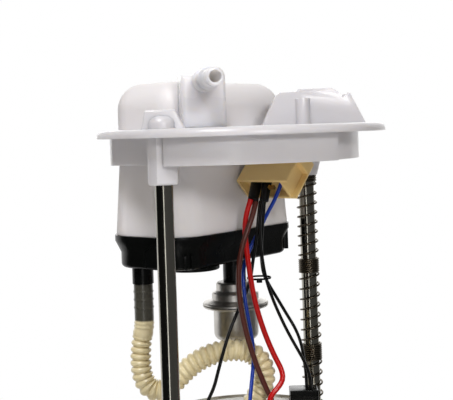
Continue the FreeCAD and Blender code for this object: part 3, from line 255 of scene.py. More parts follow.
# Carbon-black filled acetal: deep black with a satin gloss.
BLACK_ACETAL = Finish("black_acetal", "#060707", "#0d0f0e", 0.26, ior=1.48, gloss=0.2,
                      grain_depth=0.04)
# PBT plug housing in its natural beige, moulded with a fine spark-eroded grain.
BEIGE_PBT = Finish("beige_pbt", "#f6d795", "#edca80", 0.42, ior=1.55, grain_mm=0.35, grain_depth=0.05,
                   subsurface=0.04)
# Natural polyamide: warm translucent white.
NATURAL_NYLON = Finish("natural_nylon", "#e2dfd4", "#d8d3c5", 0.38, ior=1.53, subsurface=0.08)
# Grey glass-filled polymer of the pump's inner plates.
GREY_POLYMER = Finish("grey_polymer", "#8f9092", "#7e7f82", 0.5, ior=1.6, grain_depth=0.08)
# Hardened and drawn steel rod with fine lengthwise lines; its dark look is painted reflection of the
# dark studio cards, and its sharp light is a painted highlight from the pale strip card.
DRAWN_STEEL = Finish("drawn_steel", "#b8b5ab", "#827f75", 0.14, Surface.DRAWN, metallic=1.0,
                     cloud_mm=4, grain_mm=0.5, grain_depth=0.02, roughness_spread=0.04)
# Hard drawn spring wire, oil-tempered to a brownish dark grey.
SPRING_WIRE = Finish("spring_wire", "#6f675a", "#554e43", 0.27, Surface.DRAWN, metallic=1.0,
                     cloud_mm=6, grain_mm=0.4, grain_depth=0.015)
# Deep-drawn steel with a dulled zinc passivation: satin grey with soft stains.
PASSIVATED_STEEL = Finish("passivated_steel", "#dedbd6", "#b8b4ad", 0.37, Surface.PRESSED,
                          metallic=1.0, cloud_mm=9, grain_mm=0.6, grain_depth=0.02,
                          roughness_spread=0.08)
# Zinc-plated pump shell, rolled from sheet.
ZINC_PLATE = Finish("zinc_plate", "#b4b6b8", "#a2a4a8", 0.33, Surface.PRESSED, metallic=1.0,
                    cloud_mm=14, grain_mm=0.8, grain_depth=0.02)
# Stamped brass contact.
STAMPED_BRASS = Finish("stamped_brass", "#d0ab62", "#bf974b", 0.3, Surface.DRAWN, metallic=1.0,
                       cloud_mm=5, grain_depth=0.02)
# Turned copper commutator.
TURNED_COPPER = Finish("turned_copper", "#c07a50", "#a8643f", 0.34, metallic=1.0, cloud_mm=5,
                       grain_depth=0.02)
# Sintered ferrite magnet: dull charcoal with a fine crumb.
SINTERED_FERRITE = Finish("sintered_ferrite", "#3a3a3d", "#2e2e31", 0.7, Surface.SINTERED,
                          grain_mm=0.4, grain_depth=0.12)
# Varnished laminations of the armature.
VARNISHED_IRON = Finish("varnished_iron", "#5a4a3c", "#463a30", 0.45, Surface.SINTERED, coat=0.3,
                        cloud_mm=6, grain_depth=0.08)
# Pressed carbon brush.
PRESSED_CARBON = Finish("pressed_carbon", "#26262a", "#1c1c1f", 0.6, Surface.SINTERED, grain_mm=0.3)
# Resin-treated filter paper with its fibres.
FILTER_PAPER = Finish("pleated_filter_paper", "#e2d3a2", "#d5c38d", 0.85, grain_mm=0.7,
                      grain_depth=0.1)
# Woven nylon mesh; real threads lie 0.1 mm apart, drawn here at 0.6 mm so that they show.
NYLON_MESH = Finish("nylon_mesh", "#e6e3d8", "#d8d4c6", 0.6, Surface.WOVEN, grain_mm=0.6,
                    grain_depth=0.2)
# Fuel-resistant moulded rubber: matt black with a slight bloom.
FUEL_RUBBER = Finish("fuel_rubber", "#161617", "#1f1f20", 0.62, ior=1.52, gloss=0.3, grain_depth=0.08)
# Cross-linked heat-shrink tube: semi-matt black with soft ripples.
SHRINK_TUBE = Finish("shrink_tube", "#070808", "#0f1010", 0.42, Surface.EXTRUDED, gloss=0.25,
                     grain_mm=1.4, grain_depth=0.16)
# Corrugated polyamide fuel hose, a warm cream; the black barb shows through its first stretch.
HOSE_NYLON = Finish("corrugated_nylon", "#ebe0b9", "#ddcd9e", 0.3, Surface.EXTRUDED, ior=1.53,
                    cloud_mm=12, subsurface=0.12, coat=0.2, beneath="#20262a", beneath_to_mm=17.6)
# Extruded wire insulation: saturated colours with a waxy gloss.
RED_WIRE = Finish("red_insulation", "#c60d0b", "#a80807", 0.3, Surface.EXTRUDED, ior=1.5, gloss=0.35)
BROWN_WIRE = Finish("brown_insulation", "#5c2c23", "#47211b", 0.32, Surface.EXTRUDED, ior=1.5,
                    gloss=0.35)
BLUE_WIRE = Finish("blue_insulation", "#0d3aa8", "#0a2c86", 0.3, Surface.EXTRUDED, ior=1.5, gloss=0.35)
BLACK_WIRE = Finish("black_insulation", "#090a0a", "#121313", 0.3, Surface.EXTRUDED, ior=1.5, gloss=0.25)
# Printed ceramic card of the level sender.
CERAMIC_CARD = Finish("ceramic_card", "#dcdad2", "#cfccc2", 0.45, ior=1.6)
# Closed-cell nitrile foam float.
FLOAT_FOAM = Finish("closed_cell_foam", "#1c1c1e", "#262628", 0.75, Surface.SINTERED, gloss=0.3,
                    grain_mm=0.7, grain_depth=0.2)


def body_of_node(node: str) -> str:
    """The CAD body that a node rides on."""
    return next(name for name, members in frame["record"]["behaviour"]["bodies"].items()
                if node in members)


def add_object(name: str, data: bpy.types.ID) -> bpy.types.Object:
    """Makes an object of a mesh, camera or lamp and links it to the scene."""
    made = bpy.data.objects.new(name, data)
    bpy.context.scene.collection.objects.link(made)
    return made


def mesh_of(bm: bmesh.types.BMesh, name: str) -> bpy.types.Mesh:
    """Turns a bmesh to a mesh and frees it.

    Args:
        bm: The bmesh, in metres.
        name: The mesh's name.

    Returns:
        The mesh.
    """
    mesh = bpy.data.meshes.new(name)
    bm.to_mesh(mesh)
    bm.free()
    return mesh


def finish_piece(bm: bmesh.types.BMesh, name: str, finish: Finish, body: str | None = None,
                 stands_for: Sequence[str] = (), crease: float = 32.0) -> bpy.types.Object:
    """Makes a finished object of a bmesh in metres and sets what it rides on.

    Args:
        bm: The piece, in place in the row frame; it is freed.
        name: The object's name.
        finish: Its finish.
        body: The body it rides on, or None.
        stands_for: The CAD nodes it replaces.
        crease: Faces that meet at more than this many degrees keep a sharp edge.

    Returns:
        The object.
    """
    for face in bm.faces:
        face.smooth = True
    for edge in bm.edges:
        edge.smooth = not edge.is_manifold or edge.calc_face_angle(0) < math.radians(crease)
    mesh = mesh_of(bm, name)
    made = add_object(name, mesh)
    mesh.materials.append(finish.material())
    if body:
        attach(made, body)
    if stands_for:
        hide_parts(*stands_for)
    LOG.info("%s: %d faces, %s", name, len(mesh.polygons), finish.name)
    return made


def in_metres(bm: bmesh.types.BMesh, place: Matrix | None = None) -> bmesh.types.BMesh:
    """Moves a bmesh drawn in millimetres to its place and turns it to metres."""
    bm.transform(Matrix.Diagonal((MM, MM, MM, 1.0)) @ (place or Matrix()))
    return bm


def break_edges(bm: bmesh.types.BMesh, edges: Sequence[bmesh.types.BMEdge], width: float,
                segments: int = 2, clamp: bool = False) -> None:
    """Breaks or rounds edges.

    Args:
        bm: The bmesh.
        edges: The edges.
        width: How far the new faces reach from the edge, in the bmesh's unit.
        segments: How many faces round an edge.
        clamp: Whether the width gives way where two broken edges would overlap.
    """
    bmesh.ops.bevel(bm, geom=edges, offset=width, offset_type="OFFSET", segments=segments,
                    profile=0.5, affect="EDGES", clamp_overlap=clamp, material=-1)


def block(bm: bmesh.types.BMesh, size: Point, middle: Point, turn: float = 0.0,
          edge: float = 0.2) -> None:
    """Adds a block with broken edges to a bmesh in millimetres.

    Args:
        bm: The bmesh.
        size: Its three sides.
        middle: Its middle.
        turn: Its turn about Z in degrees.
        edge: The width of its broken edges.
    """
    made = bmesh.ops.create_cube(bm, size=1.0)["verts"]
    place = (Matrix.Translation(middle) @ Matrix.Rotation(math.radians(turn), 4, "Z")
             @ Matrix.Diagonal((*size, 1.0)))
    bmesh.ops.transform(bm, matrix=place, verts=made)
    break_edges(bm, list({e for v in made for e in v.link_edges}), edge)


class SubAssembly:
    """CAD nodes that belong together, each dressed in its finish, and details of their own."""

    dressed: dict[str, tuple[Finish, float]]  # node: finish, and width of its broken edges in mm

    def build(self) -> None:
        """Dresses the nodes and adds the details."""
        for node, (finish, edge) in self.dressed.items():
            self.dress(node, finish, edge)
        self.details()

    def details(self) -> None:
        """Adds what the nodes alone don't show."""

    def dress(self, node: str, finish: Finish, edge: float, rides: bool = True) -> bpy.types.Object:
        """Merges a node's own shape to clean faces and breaks its edges.

        Args:
            node: The CAD node.
            finish: Its finish.
            edge: The width of a broken edge in millimetres; none where it is 0.
            rides: Whether it rides on its body.

        Returns:
            The dressed piece.
        """
        bm = bmesh.new()
        bm.from_mesh(frame["nodes"][node].data)
        bmesh.ops.remove_doubles(bm, verts=bm.verts, dist=WELD)
        bmesh.ops.dissolve_limit(bm, angle_limit=math.radians(FLAT_ANGLE), verts=bm.verts,
                                 edges=bm.edges, use_dissolve_boundaries=False)
        if edge:
            sharp = [e for e in bm.edges
                     if e.is_manifold and e.calc_face_angle(0) > math.radians(EDGE_ANGLE)]
            break_edges(bm, sharp, edge * MM, clamp=True)
        body = body_of_node(node) if rides else None
        return finish_piece(bm, f"{node}_dressed", finish, body, [node])


@dataclass
class Camera:
    """The photograph's viewpoint, fitted to its perspective."""

    place: Point = (-0.3764, -0.2913, 0.0019)  # metres
    azimuth: float = -51.46  # degrees
    roll: float = -1.9  # degrees
    lens: float = 79.5  # millimetres
    rise: float = -0.152  # shift of the frame, as a share of its width
    near: float = 0.01  # metres

    def build(self) -> bpy.types.Object:
        """Makes the camera and sets it as the scene's.

        Returns:
            The camera.
        """
        data = bpy.data.cameras.new("view")
        data.lens = self.lens
        data.shift_y = self.rise
        data.clip_start = self.near
        made = add_object("view", data)
        made.matrix_world = (Matrix.Translation(self.place)
                             @ Matrix.Rotation(math.radians(self.azimuth), 4, "Z")
                             @ Matrix.Rotation(math.radians(90), 4, "X")
                             @ Matrix.Rotation(math.radians(self.roll), 4, "Z"))
        bpy.context.scene.camera = made
        return made


@dataclass
class Studio:
    """Pale floor, white surroundings, three lamps, and glowing cards that only reflections see, which
    paint reflections on the rods.
    """

    floor_level: float = CAD_BOX[0][2]
    floor_size: float = 8.0
    floor_colour: str = "#f2f2f2"
    floor_roughness: float = 0.9
    ambient: float = 0.17
    ambient_tint: str = "#fff1de"
    shadow_reach: float = 0.1
    white_from: float = 0.24
    aim: Point = (0.0, 0.0, -0.03)
    rear_aim: Point = (0.0, 0.0, -0.12)
    flag_reach: tuple[float, float] = (0.1, 0.5)
    flag_height: float = 1.2
    flag_lift: float = 0.0005
    flag_step: float = 3.0
    flag_arcs: tuple[tuple[float, float, float], ...] = (  # first and last azimuth, and level
        (112.0, 206.5, 0.012), (206.5, 214.5, 2.4), (214.5, 346.0, 0.1))

    def build(self) -> None:
        """Makes floor, world, lamps and the glowing cards of painted reflection."""
        self.floor()
        self.world()
        self.lamp("key", place=(-0.56, -0.1, 0.86), aim=self.aim, size=0.2, power=6.8,
                  colour="#fdfcff")
        self.lamp("front", place=(-0.5, -0.72, 0.3), aim=self.aim, size=0.16, power=3.0,
                  colour="#fffdfd")
        self.lamp("rear", place=(0.62, 0.5, 0.2), aim=self.rear_aim, size=0.7, power=1.6,
                  colour="#ffffff")
        for first, last, level in self.flag_arcs:
            self.painted_reflection_card(first, last, level)
        bpy.context.scene.view_settings.view_transform = "Standard"

    def painted_reflection_card(self, first: float, last: float, level: float) -> None:
        """Lays and stands a curved glowing card before the object, which only reflections show: a
        painted reflection.

        The dark cards paint dark reflections, and the narrow pale card between them paints the one sharp
        highlight on a rod.

        Args:
            first: The azimuth of its first edge in degrees.
            last: The azimuth of its last edge.
            level: How light it is, 1 for white.
        """
        bm = bmesh.new()
        near, far = self.flag_reach
        low = self.floor_level + self.flag_lift
        turn = Matrix.Rotation(math.radians(first), 3, "Z")
        verts = [bm.verts.new(turn @ Vector(spot)) for spot in (
            (near, 0, low), (far, 0, low), (far, 0, low + self.flag_height))]
        edges = [bm.edges.new(pair) for pair in zip(verts, verts[1:])]
        bmesh.ops.spin(bm, geom=verts + edges, cent=(0, 0, 0), axis=(0, 0, 1),
                       angle=math.radians(last - first),
                       steps=round((last - first) / self.flag_step))
        name = f"flag_{first:.0f}"
        mesh = mesh_of(bm, name)
        made = add_object(name, mesh)
        skin = bpy.data.materials.new(f"flag_painted_reflection_{first:.0f}")
        skin.use_nodes = True
        # Its glow, seen only by reflections, is painted reflection: dark, grey or a bright strip by its
        # level.
        reflection_glow = add_node(skin.node_tree, "ShaderNodeEmission",
                         {"Color": linear("#ffffff"), "Strength": level})
        skin.node_tree.links.new(reflection_glow.outputs[0], skin.node_tree.nodes["Material Output"].inputs[0])
        mesh.materials.append(skin)
        for way in ("camera", "diffuse", "transmission", "volume_scatter", "shadow"):
            setattr(made, f"visible_{way}", False)

    def lamp(self, name: str, place: Point, aim: Point, size: float, power: float,
             colour: str) -> None:
        """Adds a square soft box.

        Args:
            name: Its name.
            place: Where it stands, in metres.
            aim: The point it faces.
            size: Its side.
            power: Its power in watts.
            colour: Its colour.
        """
        data = bpy.data.lights.new(name, "AREA")
        data.size = size
        data.energy = power
        data.color = linear(colour)[:3]
        made = add_object(name, data)
        turn = (Vector(aim) - Vector(place)).to_track_quat("-Z", "Y")
        made.matrix_world = Matrix.Translation(place) @ turn.to_matrix().to_4x4()

    def seen(self, tree: bpy.types.NodeTree) -> bpy.types.NodeSocket:
        """Says whether the camera, a gloss or a clear piece looks.

        Args:
            tree: The node tree.

        Returns:
            A socket that is 1 where one of them looks.
        """
        path = add_node(tree, "ShaderNodeLightPath").outputs
        share = path["Is Camera Ray"]
        for way in ("Is Glossy Ray", "Is Transmission Ray"):
            share = add_node(tree, "ShaderNodeMath", {"operation": "MAXIMUM"},
                             {0: share, 1: path[way]}).outputs[0]
        return share

    def world(self) -> None:
        """White where it is seen, softer and a little warm as a light."""
        world = bpy.data.worlds.new("white_room")
        bpy.context.scene.world = world
        world.use_nodes = True
        tree = world.node_tree
        share = self.seen(tree)
        level = add_node(tree, "ShaderNodeMapRange", {3: self.ambient, 4: 1.0}, {0: share})
        colour = add_node(tree, "ShaderNodeMix", {"data_type": "RGBA", 6: linear(self.ambient_tint),
                                                  7: linear("#ffffff")}, {0: share})
        back = tree.nodes["Background"]
        tree.links.new(colour.outputs[2], back.inputs["Color"])
        tree.links.new(level.outputs[0], back.inputs["Strength"])

    def floor(self) -> None:
        """A pale floor that keeps the shadow near the object and goes white further off."""
        bm = bmesh.new()
        bmesh.ops.create_grid(bm, x_segments=1, y_segments=1, size=self.floor_size,
                              matrix=Matrix.Translation((0, 0, self.floor_level)))
        mesh = mesh_of(bm, "floor")
        made = add_object("floor", mesh)
        skin = bpy.data.materials.new("pale_floor")
        skin.use_nodes = True
        tree = skin.node_tree
        ground = tree.nodes["Principled BSDF"]
        ground.inputs["Base Color"].default_value = linear(self.floor_colour)
        ground.inputs["Roughness"].default_value = self.floor_roughness
        spot = add_node(tree, "ShaderNodeTexCoord").outputs["Object"]
        flat = add_node(tree, "ShaderNodeMapping", {"Scale": (1, 1, 0)}, {"Vector": spot})
        away = add_node(tree, "ShaderNodeVectorMath", {"operation": "LENGTH"}, {0: flat.outputs[0]})
        fade = add_node(tree, "ShaderNodeMapRange", {1: self.shadow_reach, 2: self.white_from},
                        {0: away.outputs["Value"]})
        share = add_node(tree, "ShaderNodeMath", {"operation": "MULTIPLY"},
                         {0: fade.outputs[0], 1: self.seen(tree)})
        glow = add_node(tree, "ShaderNodeEmission", {"Color": linear("#ffffff"), "Strength": 1.0})
        blend = add_node(tree, "ShaderNodeMixShader", {},
                         {0: share.outputs[0], 1: ground.outputs[0], 2: glow.outputs[0]})
        tree.links.new(blend.outputs[0], tree.nodes["Material Output"].inputs[0])
        mesh.materials.append(skin)


@dataclass
class Route:
    """The middle line of a cord: a smooth spline on given points, in millimetres."""

    name: str
    points: Sequence[Point]
    order: int = 3
    resolution: int = 12

    def line(self) -> list[Vector]:
        """Reads the spline's points.

        Returns:
            Points along the smooth line, in metres.
        """
        curve = bpy.data.curves.new(self.name + "_route", "CURVE")
        curve.dimensions = "3D"
        spline = curve.splines.new("NURBS")
        spline.points.add(len(self.points) - 1)
        for spot, place in zip(spline.points, self.points):
            spot.co = (*(c * MM for c in place), 1.0)
        spline.order_u = self.order
        spline.use_endpoint_u = True
        spline.resolution_u = self.resolution
        holder = bpy.data.objects.new(self.name + "_route", curve)
        mesh = bpy.data.meshes.new_from_object(holder)
        line = [v.co.copy() for v in mesh.vertices]
        bpy.data.objects.remove(holder)
        bpy.data.curves.remove(curve)
        bpy.data.meshes.remove(mesh)
        return line


def length_of(line: Sequence[Vector]) -> float:
    """The length of a line of points."""
    return sum((b - a).length for a, b in zip(line, line[1:]))


def evenly(line: Sequence[Vector], step: float) -> list[Vector]:
    """Places points along a line at an even distance.

    Args:
        line: The line.
        step: The distance wanted.

    Returns:
        The points, first and last included.
    """
    total = length_of(line)
    count = max(2, round(total / step))
    out = []
    walked, index = 0.0, 0
    for mark in (total * i / count for i in range(count + 1)):
        while index < len(line) - 2 and walked + (line[index + 1] - line[index]).length < mark:
            walked += (line[index + 1] - line[index]).length
            index += 1
        run = line[index + 1] - line[index]
        out.append(line[index] + run * min(1.0, (mark - walked) / max(run.length, 1e-9)))
    return out


def tube(line: Sequence[Vector], radius: Callable[[float], float], sides: int) -> bmesh.types.BMesh:
    """Skins a round, capped tube along a line by bridging circles.

    Args:
        line: Its middle line, in metres.
        radius: The radius in millimetres at a distance in millimetres along the line.
        sides: How many sides the circles have.

    Returns:
        A bmesh in metres, whose layer along_mm holds the distance along the line.
    """
    bm = bmesh.new()
    along = bm.verts.layers.float.new("along_mm")
    turn = (line[1] - line[0]).normalized().to_track_quat("Z", "Y").to_matrix()
    walked, before = 0.0, None
    for i, spot in enumerate(line):
        if i:
            walked += (spot - line[i - 1]).length / MM
        ahead = line[min(i + 1, len(line) - 1)] - line[max(i - 1, 0)]
        turn = turn.col[2].rotation_difference(ahead.normalized()).to_matrix() @ turn
        ring = bmesh.ops.create_circle(bm, cap_ends=i in (0, len(line) - 1), segments=sides,
                                       radius=radius(walked) * MM,
                                       matrix=Matrix.Translation(spot) @ turn.to_4x4())["verts"]
        for vert in ring:
            vert[along] = walked
        edges = list({e for v in ring for e in v.link_edges if e.other_vert(v) in ring})
        if before:
            bmesh.ops.bridge_loops(bm, edges=before + edges)
        before = edges
    bmesh.ops.recalc_face_normals(bm, faces=bm.faces)
    return bm


@dataclass
class Cord:
    """A wire between the plug under the flange and the reservoir."""

    node: str
    finish: Finish
    diameter: float
    points: Sequence[Point]
    stiffness: str = "medium"
    sides: int = 14
    step: float = 1.6
    path_step: float = 1.6
    head_mm: float = 0.0  # the stretch at its upper end that doesn't bend
    foot_mm: float = 0.0  # the same at its lower end
    crease: float = 70.0

    def build(self) -> bpy.types.Object:
        """Returns:
            The cord.
        """
        line = evenly(Route(self.node, self.points).line(), self.step * MM)
        total = length_of(line)
        bm = tube(line, lambda walked: self.radius_at(walked, total / MM), self.sides)
        made = finish_piece(bm, f"{self.node}_skin", self.finish, None, [self.node],
                            crease=self.crease)
        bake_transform(made)
        return made

    def radius_at(self, walked: float, total: float) -> float:
        """The cord's radius, the same all along.

        Args:
            walked: The distance along it in millimetres.
            total: Its length in millimetres.

        Returns:
            The radius in millimetres.
        """
        return self.diameter / 2


@dataclass
class FuelHose(Cord):
    """The fuel hose: a plain cuff over the barb, a waist, and rounded corrugations."""

    sides: int = 32
    step: float = 0.38
    head_mm: float = 16.0
    foot_mm: float = 9.0
    pitch: float = 3.0
    groove: float = 1.25
    barb_rings: tuple[float, ...] = (3.7, 7.4, 11.1, 18.4, 20.2)  # distances along the hose
    ring_depth: float = 0.3
    ring_half: float = 0.7
    waist: tuple[float, float] = (21.4, 25.2)
    waist_depth: float = 0.35
    waist_rise: float = 0.3
    swell: float = 0.42
    swell_over: float = 30.0
    crest_shape: float = 0.85

    def radius_at(self, walked: float, total: float) -> float:
        """The hose's radius: ringed over the barb, plain at the waist, waved after it.

        Args:
            walked: The distance along it in millimetres.
            total: Its length in millimetres.

        Returns:
            The radius in millimetres.
        """
        full = self.diameter / 2
        if walked > total - self.foot_mm:
            return full
        if walked < self.waist[0]:
            near = min(abs(walked - ring) for ring in self.barb_rings)
            return full - self.ring_depth * min(1.0, near / self.ring_half)
        if walked < self.waist[1]:
            share = (walked - self.waist[0]) / (self.waist[1] - self.waist[0])
            return full - self.waist_depth + self.waist_rise * math.sin(math.pi * share)
        waved = walked - self.waist[1]
        grown = full + self.swell * min(1.0, waved / self.swell_over)
        crest = abs(math.cos(math.pi * waved / self.pitch)) ** self.crest_shape
        return grown - self.groove * (1 - crest)


@dataclass
class SpringCoil:
    """The coil spring on the right guide rod, wound closed in four places."""

    x: float = 54.0
    radius: float = 4.9
    wire: float = 1.0
    sides: int = 10
    steps: int = 26
    groups: tuple[tuple[float, float], ...] = (  # depth of each one's top, and its height
        (22.0, 4.2), (64.8, 8.2), (108.8, 9.5), (138.8, 3.2))
    open_pitch: float = 5.1
    closed_share: float = 1.04
    kept: float = 0.788  # share of its height that it keeps at the slide's limit
    crease: float = 60.0

    def build(self) -> bpy.types.Object:
        """Winds the wire down the rod by spinning its section, group by group.

        Returns:
            The spring.
        """
        bm = bmesh.new()
        start = Vector((self.x + self.radius, 0, -self.groups[0][0] - self.wire / 2))
        ring = bmesh.ops.create_circle(
            bm, cap_ends=True, segments=self.sides, radius=self.wire / 2,
            matrix=Matrix.Translation(start) @ Matrix.Rotation(math.pi / 2, 4, "X"))["verts"]
        edges = list({e for v in ring for e in v.link_edges})
        for i, (top, height) in enumerate(self.groups):
            edges = self.wind(bm, edges, height - self.wire, self.wire * self.closed_share)
            if i + 1 < len(self.groups):
                drop = self.groups[i + 1][0] - top - height + self.wire
                edges = self.wind(bm, edges, drop, self.open_pitch)
        bmesh.ops.edgeloop_fill(bm, edges=edges)
        bmesh.ops.recalc_face_normals(bm, faces=bm.faces)
        made = finish_piece(in_metres(bm), "spring_wound", SPRING_WIRE, "flange_unit", ["spring"],
                            crease=self.crease)
        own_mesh(made)
        return made

    def wind(self, bm: bmesh.types.BMesh, edges: list, drop: float, pitch: float) -> list:
        """Winds the wire down by a height, right-handed.

        Args:
            bm: The spring so far.
            edges: The open end of the wire.
            drop: The height to wind, in millimetres.
            pitch: The wanted drop of each turn.

        Returns:
            The new open end.
        """
        turns = max(1, round(drop / pitch))
        count = turns * self.steps
        wound = bmesh.ops.spin(bm, geom=edges, cent=(self.x, 0, 0), axis=(0, 0, 1),
                               dvec=(0, 0, -drop / count), angle=-2 * math.pi * turns, steps=count,
                               use_duplicate=False)
        return [e for e in wound["geom_last"] if isinstance(e, bmesh.types.BMEdge)]


@dataclass
class FlangeUnit(SubAssembly):
    """The white flange that closes the tank's opening, with its outlet and its socket."""

    dressed: dict[str, tuple[Finish, float]] = field(default_factory=lambda: {
        "flange_cover": (WHITE_ACETAL, 0.45), "outlet_port": (THIN_LIT_ACETAL, 0.3),
        "harness_socket": (WHITE_ACETAL, 0.4),
        **{f"terminal_{i}": (STAMPED_BRASS, 0.08) for i in range(1, 5)}})
    rods: tuple[tuple[str, float, float], ...] = (  # side, x, and the way to the middle
        ("left", -55.4, 1.0), ("right", 54.0, -1.0))
    boss_low: float = 3.0
    boss_top: float = 12.0
    boss_half: float = 3.4
    boss_reach: tuple[float, float] = (9.0, 10.4)  # at its foot, outwards and inwards
    boss_crown: tuple[float, float] = (7.2, 6.1)  # the same at its top
    boss_edge: float = 0.9
    hub_radius: float = 6.7
    hub_top: float = 9.7
    hub_round: float = 4.4
    hub_sides: int = 40

    def details(self) -> None:
        """Sets the two tapered bosses over the rods' ends."""
        for side, x, way in self.rods:
            bm = bmesh.new()
            bmesh.ops.create_cube(bm, size=1.0)
            for vert in bm.verts:
                outer = vert.co.x * way < 0
                spread = self.boss_crown if vert.co.z > 0 else self.boss_reach
                vert.co = (math.copysign(spread[0 if outer else 1], vert.co.x),
                           math.copysign(self.boss_half, vert.co.y),
                           self.boss_top if vert.co.z > 0 else self.boss_low)
            edges = [e for e in bm.edges if max(v.co.z for v in e.verts) > self.boss_low]
            break_edges(bm, edges, self.boss_edge, segments=3)
            hub = bmesh.ops.create_cone(
                bm, cap_ends=True, segments=self.hub_sides, radius1=self.hub_radius,
                radius2=self.hub_radius, depth=self.hub_top - self.boss_low,
                matrix=Matrix.Translation((0, 0, (self.hub_top + self.boss_low) / 2)))["verts"]
            crown = list({e for v in hub for e in v.link_edges
                          if all(w.co.z > self.hub_top - CLOSE for w in e.verts)})
            break_edges(bm, crown, self.hub_round, segments=5)
            place = (Matrix.Translation((x, 0, 0))
                     @ Matrix.Rotation(math.radians(VIEW_TURN), 4, "Z"))
            finish_piece(in_metres(bm, place), f"rod_boss_{side}", WHITE_ACETAL, "flange_unit")


@dataclass
class FilterCanister(SubAssembly):
    """The fuel filter's white housing with its black lid and the paper element in it."""

    dressed: dict[str, tuple[Finish, float]] = field(default_factory=lambda: {
        "filter_housing": (LIT_CANISTER_ACETAL, 0.35), "filter_lid": (BLACK_ACETAL, 0.5),
        "filter_element": (FILTER_PAPER, 0.0), "filter_cap_top": (GREY_POLYMER, 0.2),
        "filter_cap_bottom": (GREY_POLYMER, 0.2)})
    corner: float = 13.0
    left_corner: tuple[float, float] = (-29.0, 16.0)
    right_corner: tuple[float, float] = (33.0, 16.0)
    rib_turns: tuple[float, ...] = (22.0, 36.0)
    rib: Point = (1.3, 2.0, 6.4)
    rib_middle: float = -56.9
    end_rib: Point = (2.2, 2.6, 12.0)
    end_turn: float = 38.5
    end_out: float = 0.6
    end_middle: float = -53.0
    foot_place: Point = (-20.0, 16.0, -61.4)
    foot_radius: float = 13.0
    foot_depth: float = 1.9
    foot_edge: float = 0.6
    foot_sides: int = 48

    def details(self) -> None:
        """Adds the lid's catches and the shallow round foot under it."""
        bm = bmesh.new()
        x, y = self.left_corner
        for turn in self.rib_turns:
            wide = math.radians(turn)
            block(bm, self.rib, (x - self.corner * math.sin(wide), y - self.corner * math.cos(wide),
                                 self.rib_middle), -turn)
        x, y = self.right_corner
        wide, reach = math.radians(self.end_turn), self.corner + self.end_out
        block(bm, self.end_rib, (x + reach * math.sin(wide), y - reach * math.cos(wide),
                                 self.end_middle), self.end_turn)
        foot = bmesh.ops.create_cone(
            bm, cap_ends=True, segments=self.foot_sides, radius1=self.foot_radius,
            radius2=self.foot_radius, depth=self.foot_depth,
            matrix=Matrix.Translation(self.foot_place))["verts"]
        edges = list({e for v in foot for e in v.link_edges
                      if e.calc_face_angle(0) > math.radians(EDGE_ANGLE)})
        break_edges(bm, edges, self.foot_edge, segments=3)
        finish_piece(in_metres(bm), "lid_catches", BLACK_ACETAL, "flange_unit")


@dataclass
class Regulator(SubAssembly):
    """The pressure regulator that hangs below the canister."""

    dressed: dict[str, tuple[Finish, float]] = field(default_factory=lambda: {
        "regulator_cover": (PASSIVATED_STEEL, 0.2), "regulator_cup": (PASSIVATED_STEEL, 0.2),
        "regulator_diaphragm": (FUEL_RUBBER, 0.0), "regulator_valve": (STAMPED_BRASS, 0.1)})
    spring_foot: Point = (6.2, 11.4, -98.2)
    spring_keep: float = 0.94  # share of its height that it keeps at the valve's limit

    def details(self) -> None:
        """Adds the inner spring."""
        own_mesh(self.dress("regulator_spring", SPRING_WIRE, 0.0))


@dataclass
class GuideRods(SubAssembly):
    """The two steel rods on which the reservoir slides, with the rings that hold them."""

    dressed: dict[str, tuple[Finish, float]] = field(default_factory=lambda: {
        "guide_rod_left": (DRAWN_STEEL, 0.0), "guide_rod_right": (DRAWN_STEEL, 0.0),
        "rod_clip_left": (SPRING_WIRE, 0.0), "rod_clip_right": (SPRING_WIRE, 0.0)})


@dataclass
class LeadPlug(SubAssembly):
    """The beige plug under the flange with its lock, sleeves and cable tie."""

    dressed: dict[str, tuple[Finish, float]] = field(default_factory=lambda: {
        "plug": (BEIGE_PBT, 0.3), "plug_lock": (NATURAL_NYLON, 0.2),
        "shrink_sleeve_1": (SHRINK_TUBE, 0.15), "shrink_sleeve_2": (SHRINK_TUBE, 0.15)})
    mouth: Point = (0.5, -13.8, -26.0)
    tilt: float = 45.0
    crimp: Point = (1.9, 0.8, 1.6)
    crimp_edge: float = 0.15
    crimps: tuple[tuple[float, float], ...] = ((-1.6, -2.6), (-1.6, -3.9), (-1.6, -5.2))
    tie_middle: Point = (-2.1, -9.7, -67.6)
    tie_turn: float = 218.0
    tie_reach: float = 6.0
    tie_head: Point = (1.6, 2.6, 2.0)
    bend: tuple[float, float] = (-30.0, -127.0)  # two heights, at the wire bundle's ends

    def details(self) -> None:
        """Adds the crimps that show in the plug's mouth and the cable tie's head."""
        bm = bmesh.new()
        place = Matrix.Translation(self.mouth) @ Matrix.Rotation(math.radians(self.tilt), 4, "Y")
        for across, along in self.crimps:
            bmesh.ops.create_cube(bm, size=1.0, matrix=place @ Matrix.Translation(
                (across, along, 0)) @ Matrix.Diagonal((*self.crimp, 1.0)))
        break_edges(bm, bm.edges[:], self.crimp_edge, segments=1)
        finish_piece(in_metres(bm), "plug_crimps", STAMPED_BRASS, "flange_unit")
        head = bmesh.new()
        out = Matrix.Rotation(math.radians(self.tie_turn), 4, "Z")
        block(head, self.tie_head,
              Vector(self.tie_middle) + out @ Vector((self.tie_reach, 0, 0)), self.tie_turn)
        for piece in (self.dress("cable_tie", BLACK_ACETAL, 0.15, rides=False),
                      finish_piece(in_metres(head), "tie_head", BLACK_ACETAL)):
            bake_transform(piece)


